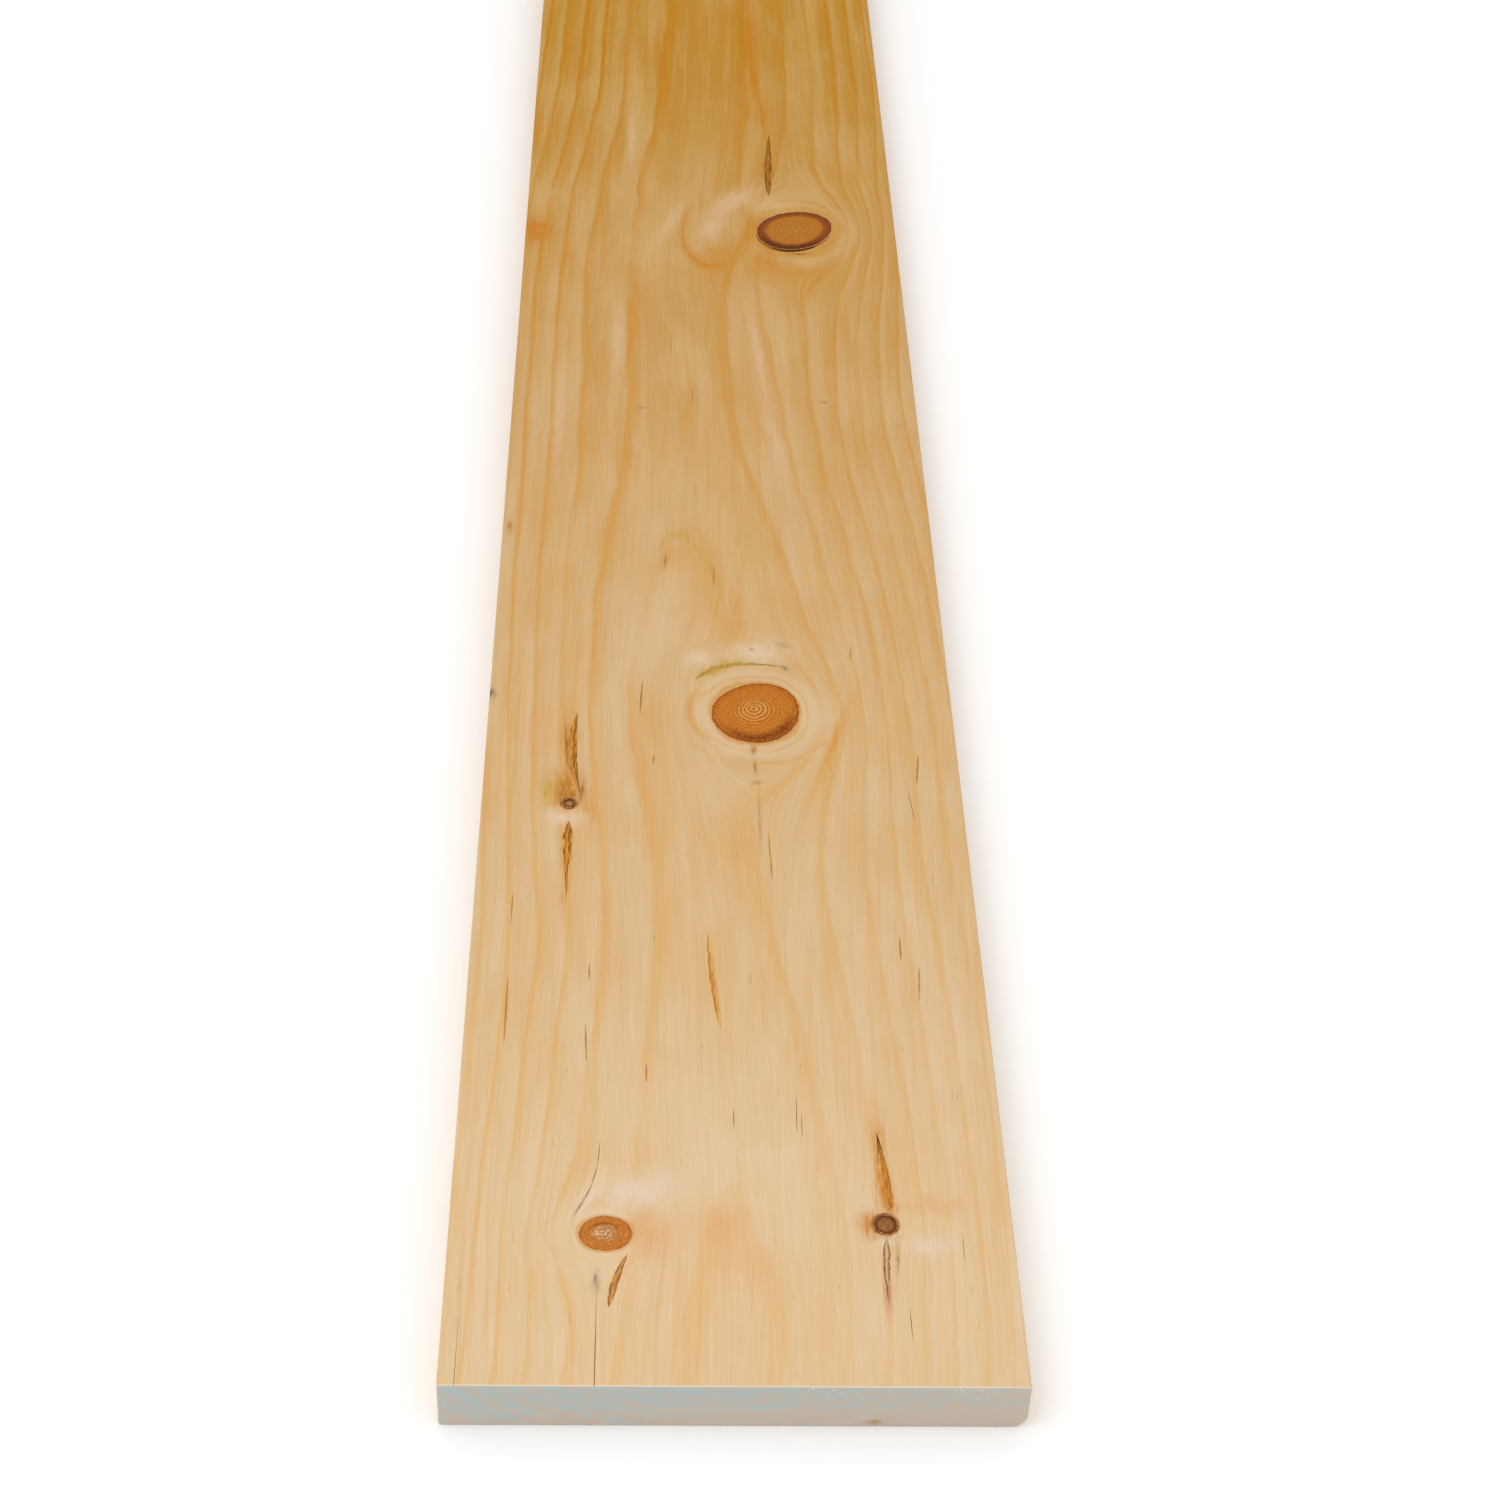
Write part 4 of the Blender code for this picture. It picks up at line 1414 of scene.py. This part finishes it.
class KNOTTY_OT_dead_branches(BoardOperator):
    """Sets the two dead branches in their collars of bark"""

    bl_idname = "knotty.dead_branches"
    bl_label = "Dead branches"

    def execute(self, context):
        sizes = settings().wood
        bark = filled("collar_bark", COLLAR_ROW)
        for node, (name, collar_node, pith, rings) in DEAD_BRANCHES.items():
            set_branch(node, name, pith, rings, branch_wood(node, 0.7, False),
                       grow=0.0, drop=0.15 * MM, rows=32, ridge=2 * sizes.ridge, dish=0.1 * MM)
            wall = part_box(collar_node)[1].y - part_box(node)[1].y
            collar = collar_solid(node, name.replace("dead_branch", "collar"), 0.05 * MM,
                                  wall + sizes.fit)
            pack_pocket(collar, collar_node, bark, 1.0 * MM, 0.1 * MM, level=1)
        return {"FINISHED"}


class KNOTTY_OT_bark(BoardOperator):
    """Packs the pockets along the grain with bark, and the crescent beside the far branch"""

    bl_idname = "knotty.bark"
    bl_label = "Bark"

    def execute(self, context):
        sizes = settings().wood
        for node, row in FILLINGS.items():
            piece = filling(node, node.replace("bark_", "packed_"), 2 * sizes.fit)
            pack_pocket(piece, node, filled(node + "_bark", row), 0.8 * MM, 0.08 * MM)
        sliver = welded_copy("bark_sliver_far_right", "packed_sliver_far_right")
        pack_pocket(sliver, "bark_sliver_far_right", charred_bark(), 0.9 * MM, 0.08 * MM,
                    level=3, spread=sizes.fit * 0.6)
        return {"FINISHED"}


class KNOTTY_OT_pitch(BoardOperator):
    """Fills the pitch pocket near the middle with hard resin"""

    bl_idname = "knotty.pitch"
    bl_label = "Pitch"

    def execute(self, context):
        node = "pitch_streak_centre"
        streak = filling(node, "hard_pitch_streak", 2 * settings().wood.fit)
        pack_pocket(streak, node, hard_pitch(), 1.5 * MM, 0.03 * MM, lumps=0.4, angle=60)
        return {"FINISHED"}


class KNOTTY_OT_torn_fibres(BoardOperator):
    """Leaves a few torn fibres where the saw came through, on the near arris"""

    bl_idname = "knotty.torn_fibres"
    bl_label = "Torn fibres"

    # Stretches of the arris, across the board in millimetres
    STRETCHES = ((22.0, 35.0), (69.0, 78.0))

    def execute(self, context):
        sizes = settings().wood
        points, edges = [], []
        for start, end in self.STRETCHES:
            edges.append((len(points), len(points) + 1))
            points += [(x * MM, NEAR_END - 0.05 * MM, BOARD_HIGH.z - 1.5 * MM)
                       for x in (start, end)]
        mesh = bpy.data.meshes.new("torn_fibres")
        mesh.from_pydata(points, edges, [])
        fibre = bpy.data.objects.new("torn_fibres", mesh)
        context.scene.collection.objects.link(fibre)
        run_nodes(fibre, torn_fibres(), {"Count": 20, "Length": sizes.fibre_length,
                                         "Seed": SEED, "Material": torn_wood()})
        if not fibre.data.polygons:
            raise RuntimeError("no torn fibres were made")
        shade(fibre, 60)
        hand_over(fibre, None)
        return {"FINISHED"}


class KNOTTY_OT_stage(BoardOperator):
    """Lays the pale floor, and sets the soft lights and the camera"""

    bl_idname = "knotty.stage"
    bl_label = "Stage"

    # The camera's place from the middle of the near top edge, and its angles in degrees
    CAMERA_FROM_EDGE = Vector((-0.0311, -0.5751, 0.7236))
    PITCH, YAW, ROLL = 39.21, 2.72, -2.42

    def execute(self, context):
        stage = settings().stage
        self.floor(stage.floor_size)
        self.lights(context.scene, stage)
        self.camera(context.scene, stage.lens)
        return {"FINISHED"}

    def floor(self, side):
        half = side / 2
        corners = [(-half, -half), (half, -half), (half, half), (-half, half)]
        floor = mesh_object("floor", [(x, y, -0.3 * MM) for x, y in corners], [(0, 1, 2, 3)])
        floor.data.materials.append(matt_paint())

    def lights(self, scene, stage):
        room = bpy.data.worlds.new("pale_room")
        room.use_nodes = True
        sky = room.node_tree.nodes["Background"]
        sky.inputs["Color"].default_value = (1.0, 1.0, 1.0, 1.0)
        sky.inputs["Strength"].default_value = stage.sky
        scene.world = room
        panel = bpy.data.lights.new("softbox", "AREA")
        panel.shape = "RECTANGLE"
        panel.size, panel.size_y = 1.6, 1.2
        panel.energy = stage.key
        softbox = bpy.data.objects.new("softbox", panel)
        place = Vector((-0.9, NEAR_END - 0.4, 1.9))
        aim = Vector((0.0, NEAR_END + 0.25, 0.0)) - place
        softbox.matrix_world = Matrix.Translation(place) @ aim.to_track_quat("-Z", "Y").to_matrix(
        ).to_4x4()
        scene.collection.objects.link(softbox)
        scene.view_settings.view_transform = "Standard"

    def camera(self, scene, lens):
        """Aims the camera by its yaw and pitch, then rolls it about its own axis."""
        pitch, yaw, roll = (math.radians(angle) for angle in (self.PITCH, self.YAW, self.ROLL))
        ahead = Vector((math.sin(yaw) * math.cos(pitch), math.cos(yaw) * math.cos(pitch),
                        -math.sin(pitch)))
        right = Vector((math.cos(yaw), -math.sin(yaw), 0.0))
        down = ahead.cross(right)
        right, down = (math.cos(roll) * right + math.sin(roll) * down,
                       math.cos(roll) * down - math.sin(roll) * right)
        eye = bpy.data.cameras.new("camera")
        eye.lens = lens
        eye.sensor_width = 36.0
        camera = bpy.data.objects.new("camera", eye)
        place = Vector((0.0, NEAR_END, BOARD_HIGH.z)) + self.CAMERA_FROM_EDGE
        camera.matrix_world = Matrix.Translation(place) @ Matrix(
            (right, -down, -ahead)).transposed().to_4x4()
        scene.collection.objects.link(camera)
        scene.camera = camera


OPERATORS = (KNOTTY_OT_blank, KNOTTY_OT_live_branches, KNOTTY_OT_dead_branches, KNOTTY_OT_bark,
             KNOTTY_OT_pitch, KNOTTY_OT_torn_fibres, KNOTTY_OT_stage)


class KNOTTY_PT_panel(bpy.types.Panel):
    """Lists the board's pieces and its settings"""

    bl_idname = "KNOTTY_PT_panel"
    bl_label = "Knotty Board"
    bl_space_type = "VIEW_3D"
    bl_region_type = "UI"
    bl_category = "Knotty Board"

    def draw(self, context):
        for operator in OPERATORS:
            self.layout.operator(operator.bl_idname)
        for part in (settings().wood, settings().colours, settings().stage):
            box = self.layout.box()
            for name in part.__annotations__:
                box.prop(part, name)


CLASSES = (WoodSettings, ColourSettings, StageSettings, BoardSettings, *OPERATORS, KNOTTY_PT_panel)


def register():
    for cls in CLASSES:
        bpy.utils.register_class(cls)
    bpy.types.Scene.knotty_board = bpy.props.PointerProperty(type=BoardSettings)


def unregister():
    del bpy.types.Scene.knotty_board
    for cls in reversed(CLASSES):
        bpy.utils.unregister_class(cls)


def main():
    register()
    for operator in OPERATORS:
        family, name = operator.bl_idname.split(".")
        getattr(getattr(bpy.ops, family), name)()


if __name__ == "__main__":
    main()
